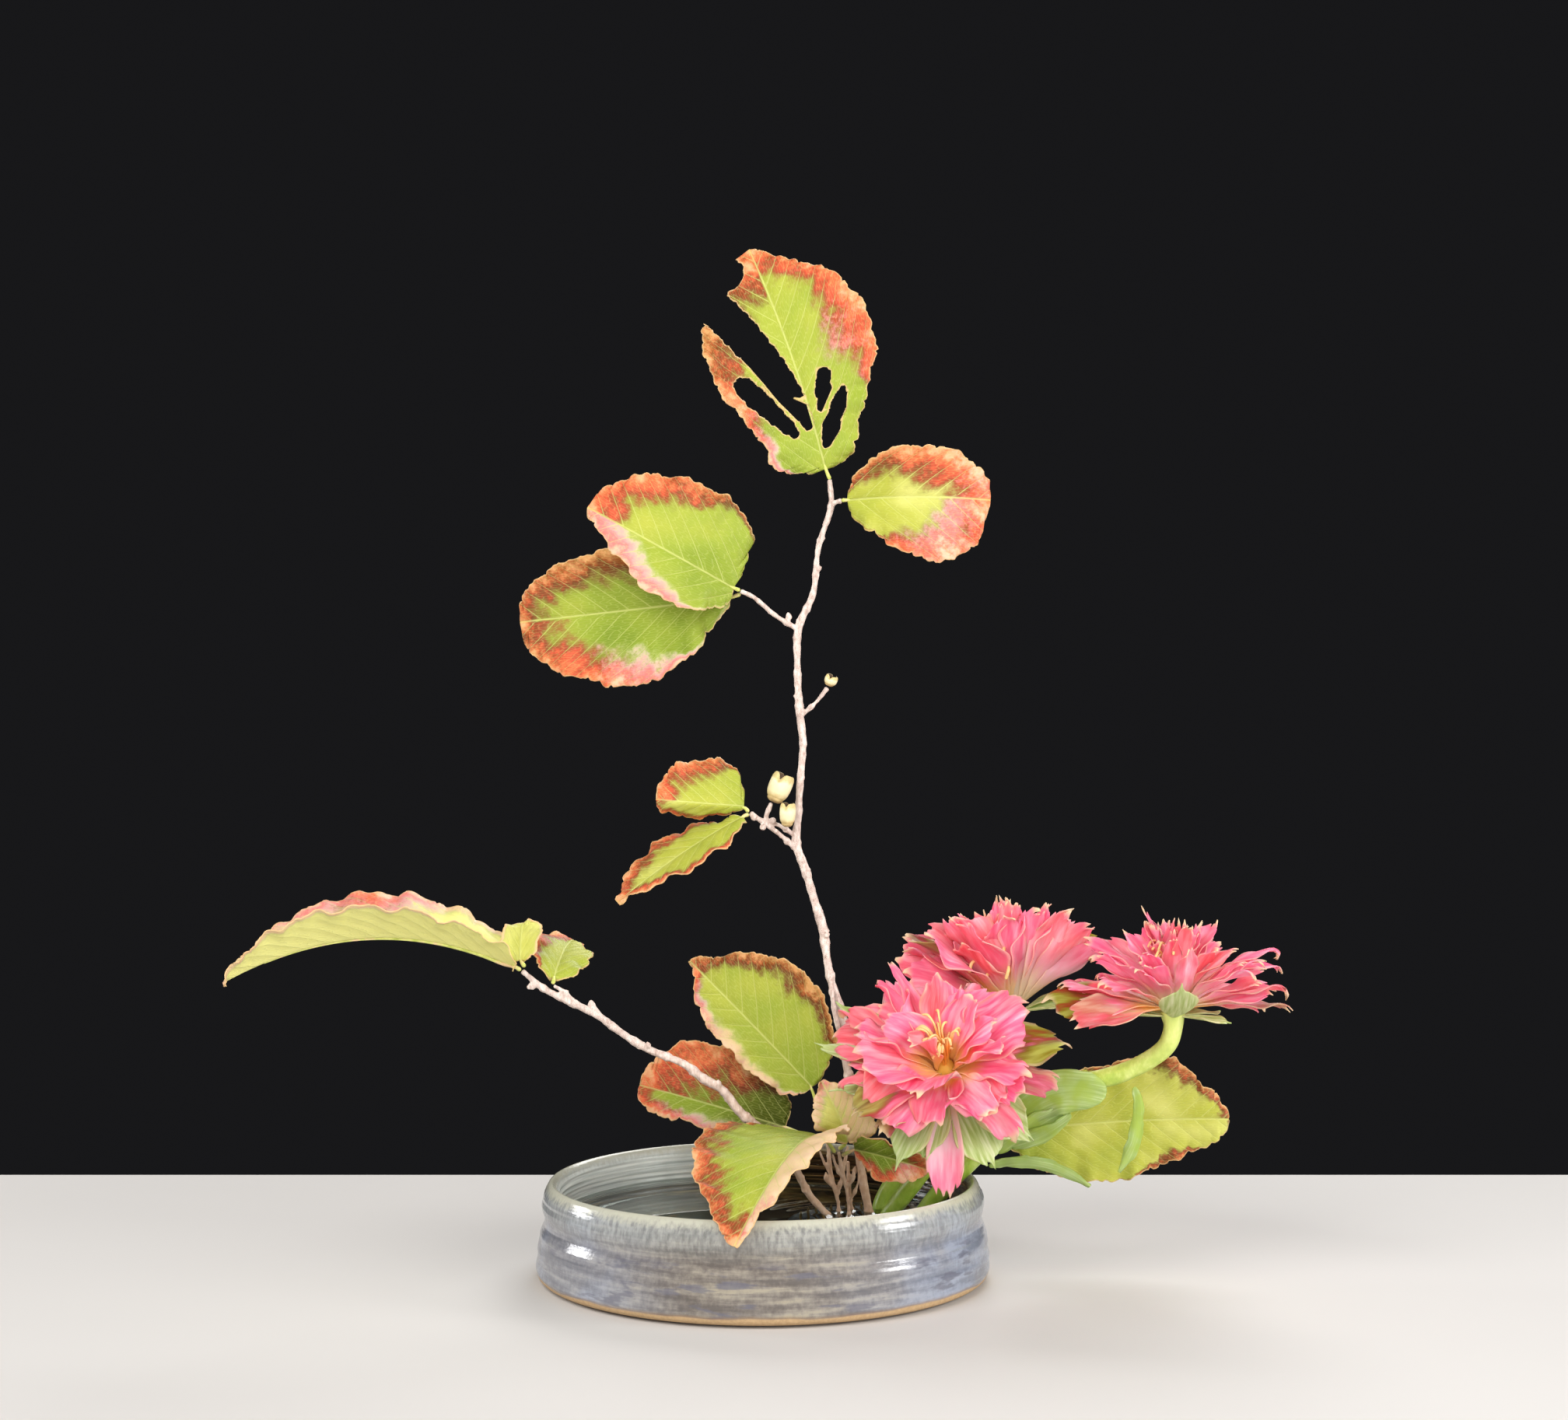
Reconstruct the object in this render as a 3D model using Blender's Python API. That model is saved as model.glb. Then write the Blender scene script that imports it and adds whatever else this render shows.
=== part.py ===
# An ikebana arrangement: a low thrown bowl with water and a hidden pin holder, two autumn branches
# with their leaves and seed capsules, and three double blooms on soft green stems.
# The frame is millimetres until a mesh is made: origin at the centre of the bowl's flat foot,
# +X to the right, +Y to the back, +Z up.

import math
import random

import bmesh
import bpy
from mathutils import Matrix, Vector

MM = 0.001
GAP = 0.3                    # clearance between pieces that touch

# Bowl and water
BOWL_RADIUS = 90.0           # widest, just above the foot
FOOT_RADIUS = 81.5
RIM_RADIUS = 83.6            # middle of the rounded lip
BOWL_HEIGHT = 38.5
FLOOR = 6.0                  # thickness of the bowl's floor
WATER_LEVEL = 24.0
TURNED_STEPS = 48

# Pin holder
HOLDER_X = 40.0
HOLDER_RADIUS = 30.0
HOLDER_HEIGHT = 7.0
PIN_LENGTH = 8.5
PIN_POINT = 2.5              # the tapered end of a pin
PIN_WIDTH = 1.2
PIN_PITCH = 5.4

STEM_FOOT = 18.5             # height at which the cut stems end, with the pins inside them

# Leaves
LEAF_THICKNESS = 0.7
STALK_RADIUS = 0.85
LEAF_STATIONS = (15, 30, 60, 90, 120, 150, 168)      # degrees along the half ellipse

# Each branch or twig: its points as x, y, z, radius
TALL_BRANCH = (
    (42.3, 2, STEM_FOOT, 2.6), (42.3, 2, 24, 2.6), (40.1, 3, 36, 2.5), (38, 5, 52, 2.4),
    (37.6, 6, 64, 2.8), (34.8, 6, 76, 2.3), (32.8, 6, 88, 2.2), (32.2, 6, 99, 2.5),
    (30.6, 6, 106, 2.3), (27.2, 6, 117, 2.1), (25, 7, 130, 2.1), (24.3, 8, 136, 2.5),
    (20.5, 9, 149, 2.1), (16.5, 10, 162, 2.2), (13.4, 10, 171, 2.3), (14, 10, 181, 1.9),
    (15, 9, 197, 1.8), (16, 8, 212, 1.8), (14.8, 8, 223.5, 2.1), (13.8, 6, 243, 1.7),
    (14.3, 5, 258, 2.0), (20, 3, 271.5, 1.6), (22.2, 2, 290, 1.4), (27.2, 0, 307, 1.5),
    (26.6, -1.6, 316.4, 1.2))
TALL_BRANCH_TWIGS = (
    ((27, 4, 118, 1.1), (28, 1.6, 108, 1.3), (30.2, 3, 97, 1.2)),
    ((14.3, 5, 257, 1.3), (4.4, 2, 263.2, 1.2), (-4.3, 0, 270.3, 1.1), (-8.6, -1.6, 272.2, 1.2)),
    ((15, 8, 222.5, 1.2), (21.5, 6, 228.4, 1.0), (25.6, 5.2, 233.6, 1.2)),
    ((27, 0, 306.4, 1.3), (29.6, -1.4, 308, 1.1), (31, -2.2, 308.2, 1.1)),
    ((13.6, 10, 168.5, 1.3), (7.5, 7, 174.4, 1.2), (1.2, 4, 179.3, 1.2), (-4.8, 1.4, 183.6, 1.3)),
    ((13.4, 10, 174, 1.2), (6.8, 6, 178.6, 1.1), (1.4, 4, 181.2, 1.2), (3.2, 3, 187.6, 1.1)))
LEFT_BRANCH = (
    (27, -3, STEM_FOOT, 2.3), (26.4, -3, 22.5, 2.3), (18.6, -4, 32.4, 2.2), (11.5, -9, 46.2, 2.1),
    (0.8, -14, 59.1, 2.1), (-8.6, -18, 67.4, 2.4), (-16.2, -20, 77, 2.1), (-22.5, -22, 81, 2.4),
    (-30, -24, 87, 1.9), (-45.3, -27, 94, 1.9), (-55.1, -29, 100.5, 1.8), (-63.7, -30, 107, 1.8),
    (-73, -31, 111.8, 1.9), (-84.3, -32, 117.6, 1.6), (-92.2, -33, 124.2, 1.3))
LEFT_BRANCH_TWIGS = (
    ((-62.6, -30, 107, 1.2), (-66, -28.4, 110.4, 1.6), (-66.4, -28.2, 112.4, 0.8)),
    ((-72, -31, 111.8, 1.2), (-77.6, -32, 117, 1.1), (-80, -33, 118.6, 1.0)),
    ((-86.6, -32.4, 119.4, 1.1), (-88.8, -32.4, 118.6, 1.9), (-90.4, -32.4, 118, 0.9)))
SHORT_TWIGS = {
    "back_twig": ((30.5, 3, STEM_FOOT, 1.6), (30, 3, 28, 1.5), (27, 2, 40, 1.9), (26, 0, 53, 1.3)),
    "front_twig": ((34.5, -3.5, STEM_FOOT, 1.5), (33.6, -4.6, 33, 1.5), (31.4, -6.4, 43, 1.9),
                   (30, -8, 50, 1.2)),
    "stub_twig": ((36, 7.5, STEM_FOOT, 1.4), (34.6, 6.5, 32, 1.7), (34, 5, 44, 1.2)),
    "low_right_twig": ((63.2, 13, STEM_FOOT, 1.7), (65.6, 13, 24, 1.7), (76.8, 13.5, 37.6, 1.6),
                       (85.6, 14, 46, 1.5), (92.6, 15.4, 52, 1.3))}
FLOWER_STEMS = {
    "front": ((49.5, -4, STEM_FOOT, 3.4), (49.5, -4, 23, 3.4), (55, -8, 32, 3.4),
              (64.5, -13, 46, 3.3), (70, -17, 60, 3.2), (71.6, -19, 73, 3.1),
              (70.6, -23, 82.6, 3.1), (69.5, -29, 87.4, 3.0), (68.8, -34.9, 89.4, 3.0)),
    "back": ((47, 9.5, STEM_FOOT, 3.4), (48, 10, 27, 3.4), (55, 11, 38, 3.4), (66, 12, 50, 3.3),
             (78, 14, 62, 3.2), (90, 18, 74, 3.1), (99.5, 23, 86, 3.0), (102.4, 24.6, 93, 3.0),
             (101.4, 23.5, 99.3, 3.0)),
    "right": ((62.7, 5, STEM_FOOT, 3.7), (65, 5, 24, 3.7), (76, 4, 37.6, 3.7), (84.4, 3, 46, 3.7),
              (96.3, 1, 56, 3.8), (109, 0, 68, 3.9), (126.9, -4, 76.6, 3.8), (140.5, -8, 81, 3.7),
              (152, -13, 87.4, 3.5), (158.6, -17, 94, 3.4), (160.8, -18.7, 101.2, 3.3))}

# Each leaf: base and tip, how far its middle stands off the straight line, its roll about the
# midrib (0 faces the front), half widths at 30 to 150 degrees, folds of the two halves in degrees,
# how far its margins curl, and where its stalk starts
LEAVES = {
    "top_leaf": dict(base=(24.9, -2, 321), tip=(-5.5, 0, 408.5), bulge=(2, -4, 0), roll=0,
                     left=(17.5, 22.5, 32, 30, 11.5), right=(12.5, 20.5, 32.5, 28, 7.5),
                     fold=(8, 6), curl=-1.5, stalk=(26.4, -1.9, 317.4)),
    "right_leaf": dict(base=(33.6, -3, 308.4), tip=(90, -8, 308), bulge=(0, -4, 1), roll=8,
                       left=(6.5, 16.5, 19.5, 17, 8), right=(7, 15, 23, 24, 15),
                       fold=(8, 8), curl=-1, stalk=(32, -2.4, 308.4)),
    "upper_left_front_leaf": dict(base=(-11.8, -2.8, 273.6), tip=(-69, -11, 305),
                                  bulge=(0, -5, 0), roll=12,
                                  left=(7, 15.5, 19, 10, 3), right=(18, 28, 29.5, 24, 14),
                                  fold=(6, 6), curl=-1.5, stalk=(-9.8, -2.2, 272.8)),
    "upper_left_back_leaf": dict(base=(-14, 4, 269.6), tip=(-98, 12, 260.5), bulge=(0, 2, 0),
                                 roll=-4, left=(7, 22, 30.5, 25, 15),
                                 right=(11, 21.5, 25, 21, 12), fold=(6, 6), curl=-1.5,
                                 stalk=(-9.6, 0.8, 271)),
    "middle_upper_leaf": dict(base=(-7.6, 1.2, 186.4), tip=(-42, -10, 189.5), bulge=(0, -2, 0),
                              roll=30, left=(3, 7, 10, 9, 6), right=(16.5, 19.5, 19.5, 16.5, 11),
                              fold=(-72, 6), curl=-1, stalk=(-6.2, 1.1, 184.9)),
    "middle_lower_leaf": dict(base=(-8.2, -1.6, 182.6), tip=(-57.4, -8, 149), bulge=(0, -3, 2),
                              roll=60, left=(5, 10.5, 13.5, 8.5, 3),
                              right=(4, 11, 16, 14, 7), fold=(6, 6), curl=-1,
                              stalk=(-6.4, -0.4, 183.2)),
    "left_end_leaf": dict(base=(-95.4, -34, 126.4), tip=(-204, -50, 122), bulge=(0, 0, 14),
                          roll=88, left=(8, 16, 22, 20, 10), right=(11, 20, 26, 20, 9),
                          fold=(44, 40), curl=-2, stalk=(-93.6, -33.6, 125.2)),
    "left_small_leaf": dict(base=(-93.6, -29.6, 128.4), tip=(-92.6, -20, 143), bulge=(0, 0, 2),
                            roll=0, left=(3, 5, 6, 5, 2.5), right=(3, 5, 6, 5, 2.5), fold=(20, 20),
                            curl=0, stalk=(-92, -31.4, 126.4)),
    "left_side_leaf": dict(base=(-80.4, -29.6, 121.8), tip=(-76, 6, 133), bulge=(0, 0, 3), roll=0,
                           left=(5, 11, 13, 10, 5), right=(4, 9, 11, 9, 4), fold=(10, 10),
                           curl=-1, stalk=(-80.6, -32, 120)),
    "centre_leaf": dict(base=(19.6, 12, 73), tip=(-29.8, 19, 123), bulge=(0, 3, 0), roll=0,
                        left=(8, 13, 14, 12, 2), right=(16, 26, 30, 22.5, 9.5), fold=(6, 6),
                        curl=-1, stalk=(25, 2, 55.2)),
    "dark_leaf": dict(base=(9, 22, 55), tip=(-51, 33, 70.5), bulge=(0, 3, 0), roll=0,
                      left=(3, 7, 9.5, 9.5, 9), right=(13, 18, 23.5, 23, 11), fold=(24, 6),
                      curl=-1, stalk=(23.4, 2, 52.4)),
    "hanging_leaf": dict(base=(24.6, -13, 56.4), tip=(-9.5, -94, 31.5), bulge=(3, -6, 15), roll=50,
                         left=(6, 10, 12, 9, 4), right=(13, 30, 36, 30, 11), fold=(62, 4),
                         curl=-1, stalk=(28.1, -9.8, 51)),
    "upright_leaf": dict(base=(33.6, -10.2, 54.6), tip=(23, -15, 79.2), bulge=(1, -2, 0), roll=-5,
                         left=(2, 5, 9, 11, 6), right=(4, 7, 7, 5, 2), fold=(10, 40),
                         curl=0, stalk=(30.6, -8.2, 51.8)),
    "folded_leaf": dict(base=(36, -14.4, 52.4), tip=(64.6, -27, 46.4), bulge=(0, -3, 1), roll=25,
                        left=(3, 8, 9, 8, 5), right=(3, 6, 10, 7, 4), fold=(14, 30),
                        curl=0, stalk=(31.9, -9.8, 49.4)),
    "low_right_leaf": dict(base=(98, 16.4, 53.8), tip=(187, 8, 60.6), bulge=(0, 4, 1), roll=0,
                           left=(10, 19, 23.5, 25.5, 10), right=(10, 20, 23.5, 16.5, 9),
                           fold=(6, 6), curl=-1.5, stalk=(94, 15.7, 52.6)),
    "stem_leaf_broad": dict(base=(99.6, -7.2, 60), tip=(134, -15, 76), bulge=(0, -1, 3), roll=0,
                            left=(6, 9, 9, 7, 4), right=(3, 4, 5, 5, 3), fold=(16, 10),
                            curl=0, stalk=(97.4, -4.6, 57)),
    "stem_leaf_narrow": dict(base=(96, -8, 53.6), tip=(121, -15, 66), bulge=(0, -1, -2), roll=0,
                             left=(2, 3, 3, 2, 1.5), right=(2, 3.5, 3.5, 3, 1.5), fold=(10, 10),
                             curl=0, stalk=(92.6, -5, 50.6)),
    "stem_leaf_low": dict(base=(101, -4.4, 49), tip=(129, -10, 37), bulge=(0, 0, 4), roll=0,
                          left=(1.5, 2, 2.5, 2, 1), right=(1.5, 2, 2.5, 2, 1), fold=(10, 10),
                          curl=0, stalk=(91.6, -1, 45.6)),
    "stem_leaf_pendant": dict(base=(145.8, -15.6, 77), tip=(139.6, -17, 44), bulge=(4, 0, 0),
                              roll=0, left=(1.5, 2, 2.5, 2.5, 1), right=(1.5, 2, 2.5, 2.5, 1),
                              fold=(10, 10), curl=0, stalk=(142.4, -13, 79.6))}

# What insects have eaten from the top leaf, as strokes: distance along the midrib, distance to
# the left of it, and the stroke's half width
EATEN = (
    ((86, 32, 8), (70, 20, 7), (52, 12.5, 7), (37, 7.4, 6), (26, 5, 3.2)),
    ((43, 25, 3.8), (33, 20.4, 4), (23.5, 15, 3.8), (17, 10.6, 2.6)),
    ((37.5, -9.6, 2.4), (29.5, -7, 2.6)),
    ((27.5, -13.6, 2.4), (18, -9.6, 2.6), (10.5, -6.2, 2)))

# Each bloom: where the receptacle meets its first petals, the way it looks, and its whorls as
# petals, length, rise in degrees, recurve in degrees and width
BLOOMS = {
    "front": dict(base=(68.5, -40, 91.8), axis=(-0.06, -0.9, 0.42), seed=3,
                  calyx=(6, 40, -6, 0, 12),
                  outer=(15, 40, 4, 16, 13), middle=(13, 35, 30, 20, 11), inner=(11, 26, 56, 22, 8),
                  stamens=(13, 17, 72, 30, 0.9)),
    "back": dict(base=(100, 22, 104.4), axis=(-0.25, -0.28, 0.93), seed=5,
                 calyx=(5, 24, 14, 0, 11),
                 outer=(13, 44, 36, 16, 13), middle=(12, 40, 54, 16, 11),
                 inner=(10, 32, 70, 14, 7), stamens=(11, 20, 80, 16, 0.9)),
    "right": dict(base=(160.4, -18.4, 107.6), axis=(-0.1, 0.06, 0.99), seed=8,
                  calyx=(5, 20, -12, 0, 11),
                  outer=(15, 42, 3, 12, 12), middle=(13, 41, 28, 18, 10),
                  inner=(12, 36, 58, 24, 6), stamens=(11, 26, 78, 16, 0.9))}
HUB_RADIUS = {"calyx": 4.6, "outer": 4.2, "middle": 3.8, "inner": 3.2, "stamens": 2.6}
HUB_SPAN = {"calyx": (-4.4, -0.3), "outer": (0, 1), "middle": (1.3, 2.3), "inner": (2.6, 3.6),
            "stamens": (3.9, 4.9)}
PETAL_STEPS = {"calyx": 3, "outer": 4, "middle": 4, "inner": 4, "stamens": 3}
PETAL_HALF = 0.45            # half of a petal's thickness


def clear_scene():
    for item in list(bpy.data.objects):
        bpy.data.objects.remove(item)


def finish_material(name, colour, roughness, metallic=0.0):
    made = bpy.data.materials.new(name)
    made.use_nodes = True
    shader = made.node_tree.nodes["Principled BSDF"]
    shader.inputs["Base Color"].default_value = (*colour, 1.0)
    shader.inputs["Roughness"].default_value = roughness
    shader.inputs["Metallic"].default_value = metallic
    return made


def make_object(name, mesh_data, finish=None, sharp=40.0):
    bmesh.ops.recalc_face_normals(mesh_data, faces=mesh_data.faces)
    mesh = bpy.data.meshes.new(name)
    mesh_data.to_mesh(mesh)
    mesh_data.free()
    mesh.shade_smooth()
    mesh.set_sharp_from_angle(angle=math.radians(sharp))
    made = bpy.data.objects.new(name, mesh)
    bpy.context.collection.objects.link(made)
    if finish:
        mesh.materials.append(finish)
    return made


def as_tool(thing):
    # a helper shape, joined to or cut from a piece and not a piece itself
    thing.hide_render = True
    thing.display_type = "WIRE"
    return thing


def combine(piece, tool, operation):
    step = piece.modifiers.new(tool.name, "BOOLEAN")
    step.operation = operation
    step.solver = "EXACT"
    step.object = as_tool(tool)


def add_loft(mesh_data, rings):
    # closed rings joined by quads, both ends filled
    loops = [[mesh_data.verts.new(Vector(point) * MM) for point in ring] for ring in rings]
    sides = len(loops[0])
    for low, high in zip(loops, loops[1:]):
        for i in range(sides):
            j = (i + 1) % sides
            mesh_data.faces.new((low[i], low[j], high[j], high[i]))
    mesh_data.faces.new(loops[0][::-1])
    mesh_data.faces.new(loops[-1])


def make_turned(name, profile, centre, finish=None, steps=TURNED_STEPS):
    # a profile of radius and height turned about an upright axis, from axis to axis
    data = bmesh.new()
    rows = []
    for radius, height in profile:
        if radius == 0:
            rows.append([data.verts.new(Vector((centre[0], centre[1], height)) * MM)])
            continue
        turn = [math.tau * k / steps for k in range(steps)]
        rows.append([data.verts.new(Vector((centre[0] + radius * math.cos(a),
                                            centre[1] + radius * math.sin(a), height)) * MM)
                     for a in turn])
    for low, high in zip(rows, rows[1:]):
        for i in range(steps):
            j = (i + 1) % steps
            corners = [low[i % len(low)], low[j % len(low)],
                       high[j % len(high)], high[i % len(high)]]
            data.faces.new(list(dict.fromkeys(corners)))
    return make_object(name, data, finish)


def path_directions(points):
    # at each point, the mean of the directions of the runs that meet there
    runs = [(b - a).normalized() for a, b in zip(points, points[1:])]
    middle = [(a + b).normalized() for a, b in zip(runs, runs[1:])]
    return [runs[0]] + middle + [runs[-1]]


def add_tube(mesh_data, stations, sides, extra=0.0):
    # a round bar through stations of x, y, z, radius; a foot in the water is cut level
    points = [Vector(s[:3]) for s in stations]
    ways = path_directions(points)
    if stations[0][2] < WATER_LEVEL:
        ways[0] = Vector((0, 0, 1))
    side = ways[0].orthogonal().normalized()
    rings = []
    for (point, way, station) in zip(points, ways, stations):
        side = (side - way * side.dot(way)).normalized()
        across = way.cross(side)
        radius = station[3] + extra
        turns = [math.tau * k / sides for k in range(sides)]
        rings.append([point + (side * math.cos(a) + across * math.sin(a)) * radius
                      for a in turns])
    add_loft(mesh_data, rings)


def make_tube(name, stations, finish=None, sides=8, extra=0.0):
    data = bmesh.new()
    add_tube(data, stations, sides, extra)
    return make_object(name, data, finish, sharp=60)


def make_bowl(finish):
    inner = RIM_RADIUS - 2.6
    profile = ((0, 0), (FOOT_RADIUS, 0), (88, 1.5), (BOWL_RADIUS, 4.5), (89.3, 12), (88.6, 18),
               (86.6, 24), (87.5, 30.6), (86, 35), (RIM_RADIUS + 1.5, 37.8),
               (RIM_RADIUS, BOWL_HEIGHT), (RIM_RADIUS - 1.5, 37.8), (inner, 35.5), (80.6, 30),
               (81.6, 24), (82.6, 16), (80.6, 10.5), (75, FLOOR + 0.6), (70, FLOOR), (0, FLOOR))
    return make_turned("bowl", profile, (0, 0), finish)


def pin_places():
    # a square grid of pins inside the holder's rim
    reach = int(HOLDER_RADIUS / PIN_PITCH)
    steps = range(-reach, reach + 1)
    grid = [(i * PIN_PITCH, j * PIN_PITCH) for i in steps for j in steps]
    return [(HOLDER_X + x, y) for x, y in grid if math.hypot(x, y) < HOLDER_RADIUS - 2.2]


def make_pins(name, extra=0.0):
    # square brass pins with pyramid points, rooted inside the lead
    data = bmesh.new()
    root = FLOOR + GAP + HOLDER_HEIGHT - 2
    shoulder = FLOOR + GAP + HOLDER_HEIGHT + PIN_LENGTH - PIN_POINT
    tip = shoulder + PIN_POINT + extra
    half = PIN_WIDTH / 2 + extra
    corners = ((-half, -half), (half, -half), (half, half), (-half, half))
    for x, y in pin_places():
        levels = ((root, 1.0), (shoulder, 1.0), (tip, 0.2))
        rings = [[(x + a * size, y + b * size, height) for a, b in corners]
                 for height, size in levels]
        add_loft(data, rings)
    return make_object(name, data, sharp=20)


def holder_profile(extra=0.0, pins=0.0):
    low = FLOOR + GAP - extra
    high = FLOOR + GAP + HOLDER_HEIGHT + pins + extra
    radius = HOLDER_RADIUS + extra
    return ((0, low), (radius, low), (radius, high - 1), (radius - 1, high), (0, high))


def make_pin_holder(finish):
    holder = make_turned("pin_holder", holder_profile(), (HOLDER_X, 0), finish, 40)
    combine(holder, make_pins("holder_pins"), "UNION")
    return holder


def make_water(finish, stems):
    # the pool stands clear of the bowl by the gap, and is cut by all that stands in it; one round
    # room stands for the water between the pins
    low = FLOOR + GAP
    profile = ((0, low), (69.6, low), (74.6, low + 0.6), (80.2, 10.9), (82.2, 16.1),
               (81.3, WATER_LEVEL), (0, WATER_LEVEL))
    water = make_turned("water", profile, (0, 0), finish)
    room = make_turned("holder_room", holder_profile(GAP, PIN_LENGTH), (HOLDER_X, 0), steps=40)
    combine(water, room, "DIFFERENCE")
    for name, stations in stems.items():
        foot = (*stations[0][:2], STEM_FOOT - GAP, stations[0][3])
        above = [s for s in stations[1:] if s[2] < WATER_LEVEL + 25]
        combine(water, make_tube(name + "_room", (foot, *above), extra=GAP), "DIFFERENCE")
    return water


def make_branch(name, stations, twigs, finish, pins=None):
    branch = make_tube(name, stations, finish)
    for k, twig in enumerate(twigs):
        combine(branch, make_tube(f"{name}_side_{k + 1}", twig, sides=6), "UNION")
    if pins:
        combine(branch, pins, "DIFFERENCE")
    return branch


def leaf_frame(base, tip, roll):
    along = (tip - base).normalized()
    front = Vector((0, -1, 0))
    face = (front - along * front.dot(along)).normalized()
    face = Matrix.Rotation(math.radians(roll), 3, along) @ face
    return along, face


def bend(base, bulge, tip, share):
    # a parabola from base to tip whose middle stands off by the bulge, and its direction
    control = (base + tip) / 2 + bulge * 2
    point = base * (1 - share) ** 2 + control * 2 * share * (1 - share) + tip * share ** 2
    way = (control - base) * (1 - share) + (tip - control) * share
    return point, way.normalized()


def half_width(widths, angle):
    # straight runs between the stated half widths, with both ends drawn in to a point
    stations = (0, 30, 60, 90, 120, 150, 180)
    values = (0.9,) + tuple(widths) + (0.5,)
    k = min(int(angle // 30), 5)
    share = (angle - stations[k]) / 30
    return values[k] * (1 - share) + values[k + 1] * share


def blade_ring(point, way, face, widths, folds, curl):
    # across the blade: left margin, left, midrib, right, right margin, then back underneath
    left = face.cross(way).normalized()
    up = way.cross(left)
    upper, lower = [], []
    for across in (-1.0, -0.5, 0.0, 0.5, 1.0):
        side = 0 if across < 0 else 1
        fold = math.radians(folds[side])
        outward = left * (-1 if side else 1)
        run = outward * math.cos(fold) + up * math.sin(fold)
        normal = up * math.cos(fold) - outward * math.sin(fold)
        if across == 0:
            run, normal = Vector((0, 0, 0)), up
        place = point + run * abs(across) * widths[side] + normal * curl * across * across
        half = LEAF_THICKNESS / 2
        rib = 0.4 if across == 0 else 0
        upper.append(place + normal * half)
        lower.append(place - normal * (half + rib))
    return upper + lower[::-1]


def stalk_ring(point, way, face):
    # a round section with the same ten points as the blade's rings
    left = face.cross(way).normalized()
    up = way.cross(left)
    turns = [math.radians(a) for a in (160, 125, 90, 55, 20, -20, -55, -90, -125, -160)]
    return [point + (up * math.sin(a) - left * math.cos(a)) * STALK_RADIUS for a in turns]


def make_leaf(name, spec, finish):
    base, tip, bulge = Vector(spec["base"]), Vector(spec["tip"]), Vector(spec["bulge"])
    start = Vector(spec["stalk"])
    along, face = leaf_frame(base, tip, spec["roll"])
    first_way = bend(base, bulge, tip, 0)[1]
    stalk_way = (base - start).normalized()
    rings = [stalk_ring(start, stalk_way, face),
             stalk_ring(start.lerp(base, 0.7), (stalk_way + first_way).normalized(), face)]
    for angle in LEAF_STATIONS:
        share = (1 - math.cos(math.radians(angle))) / 2
        point, way = bend(base, bulge, tip, share)
        widths = (half_width(spec["left"], angle), half_width(spec["right"], angle))
        rings.append(blade_ring(point, way, face, widths, spec["fold"], spec["curl"]))
    rings.append(blade_ring(tip, bend(base, bulge, tip, 1)[1], face, (0.5, 0.5),
                            (0, 0), 0))
    data = bmesh.new()
    add_loft(data, rings)
    return make_object(name, data, finish, sharp=50)


def eat_holes(leaf, spec):
    # each stroke is a band along its middle line, pushed right through the blade
    base, tip = Vector(spec["base"]), Vector(spec["tip"])
    along, face = leaf_frame(base, tip, spec["roll"])
    left = face.cross(along)
    for number, stroke in enumerate(EATEN):
        middle = [Vector((s[0], s[1], 0)) for s in stroke]
        ways = path_directions(middle)
        normals = [Vector((-w.y, w.x, 0)) for w in ways]
        one = [m + n * s[2] for m, n, s in zip(middle, normals, stroke)]
        other = [m - n * s[2] for m, n, s in zip(middle, normals, stroke)]
        start = middle[0] - ways[0] * stroke[0][2] * 0.8
        end = middle[-1] + ways[-1] * stroke[-1][2] * 0.8
        outline = [start] + one + [end] + other[::-1]
        data = bmesh.new()
        add_loft(data, [[base + along * p.x + left * p.y + face * depth for p in outline]
                        for depth in (-20, 20)])
        combine(leaf, make_object(f"eaten_{number + 1}", data), "DIFFERENCE")


def make_capsule(name, base, lean, radius, height, finish):
    # a woody seed capsule: an egg cut open at the top, split into a shallow cup
    profile = ((0, 0), (0.45, 0.02), (0.85, 0.22), (1.0, 0.5), (0.9, 0.8), (0.72, 1.0),
               (0.5, 0.9), (0.28, 0.72), (0, 0.68))
    capsule = make_turned(name, [(r * radius, z * height) for r, z in profile], (0, 0),
                          finish, 14)
    capsule.location = Vector(base) * MM
    capsule.rotation_mode = "QUATERNION"
    capsule.rotation_quaternion = Vector((0, 0, 1)).rotation_difference(Vector(lean))
    return capsule


def petal_sections(direction, side, whorl, steps, hub_radius, hub_middle, chance):
    # the petal leaves the hub steeply, then leans back by its recurve
    count, length, rise, recurve, width = whorl
    reach = length * chance.uniform(0.9, 1.0)
    lift = rise + chance.uniform(-3, 3)
    radius, height = hub_radius, hub_middle
    sections = []
    for k in range(1, steps + 1):
        share = k / steps
        slope = math.radians(lift + recurve * (0.5 - share))
        radius += reach / steps * math.cos(slope)
        height += reach / steps * math.sin(slope)
        room = 0.86 * radius * math.tan(math.pi / count)
        half = min(room, width / 2 * math.sin(math.pi * (0.18 + 0.74 * share)) + 0.15)
        middle = direction * radius + Vector((0, 0, height))
        normal = Vector((0, 0, 1)) * math.cos(slope) - direction * math.sin(slope)
        sections.append([middle + side * half - normal * PETAL_HALF,
                         middle - side * half - normal * PETAL_HALF,
                         middle - side * half + normal * PETAL_HALF,
                         middle + side * half + normal * PETAL_HALF])
    return sections


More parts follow.
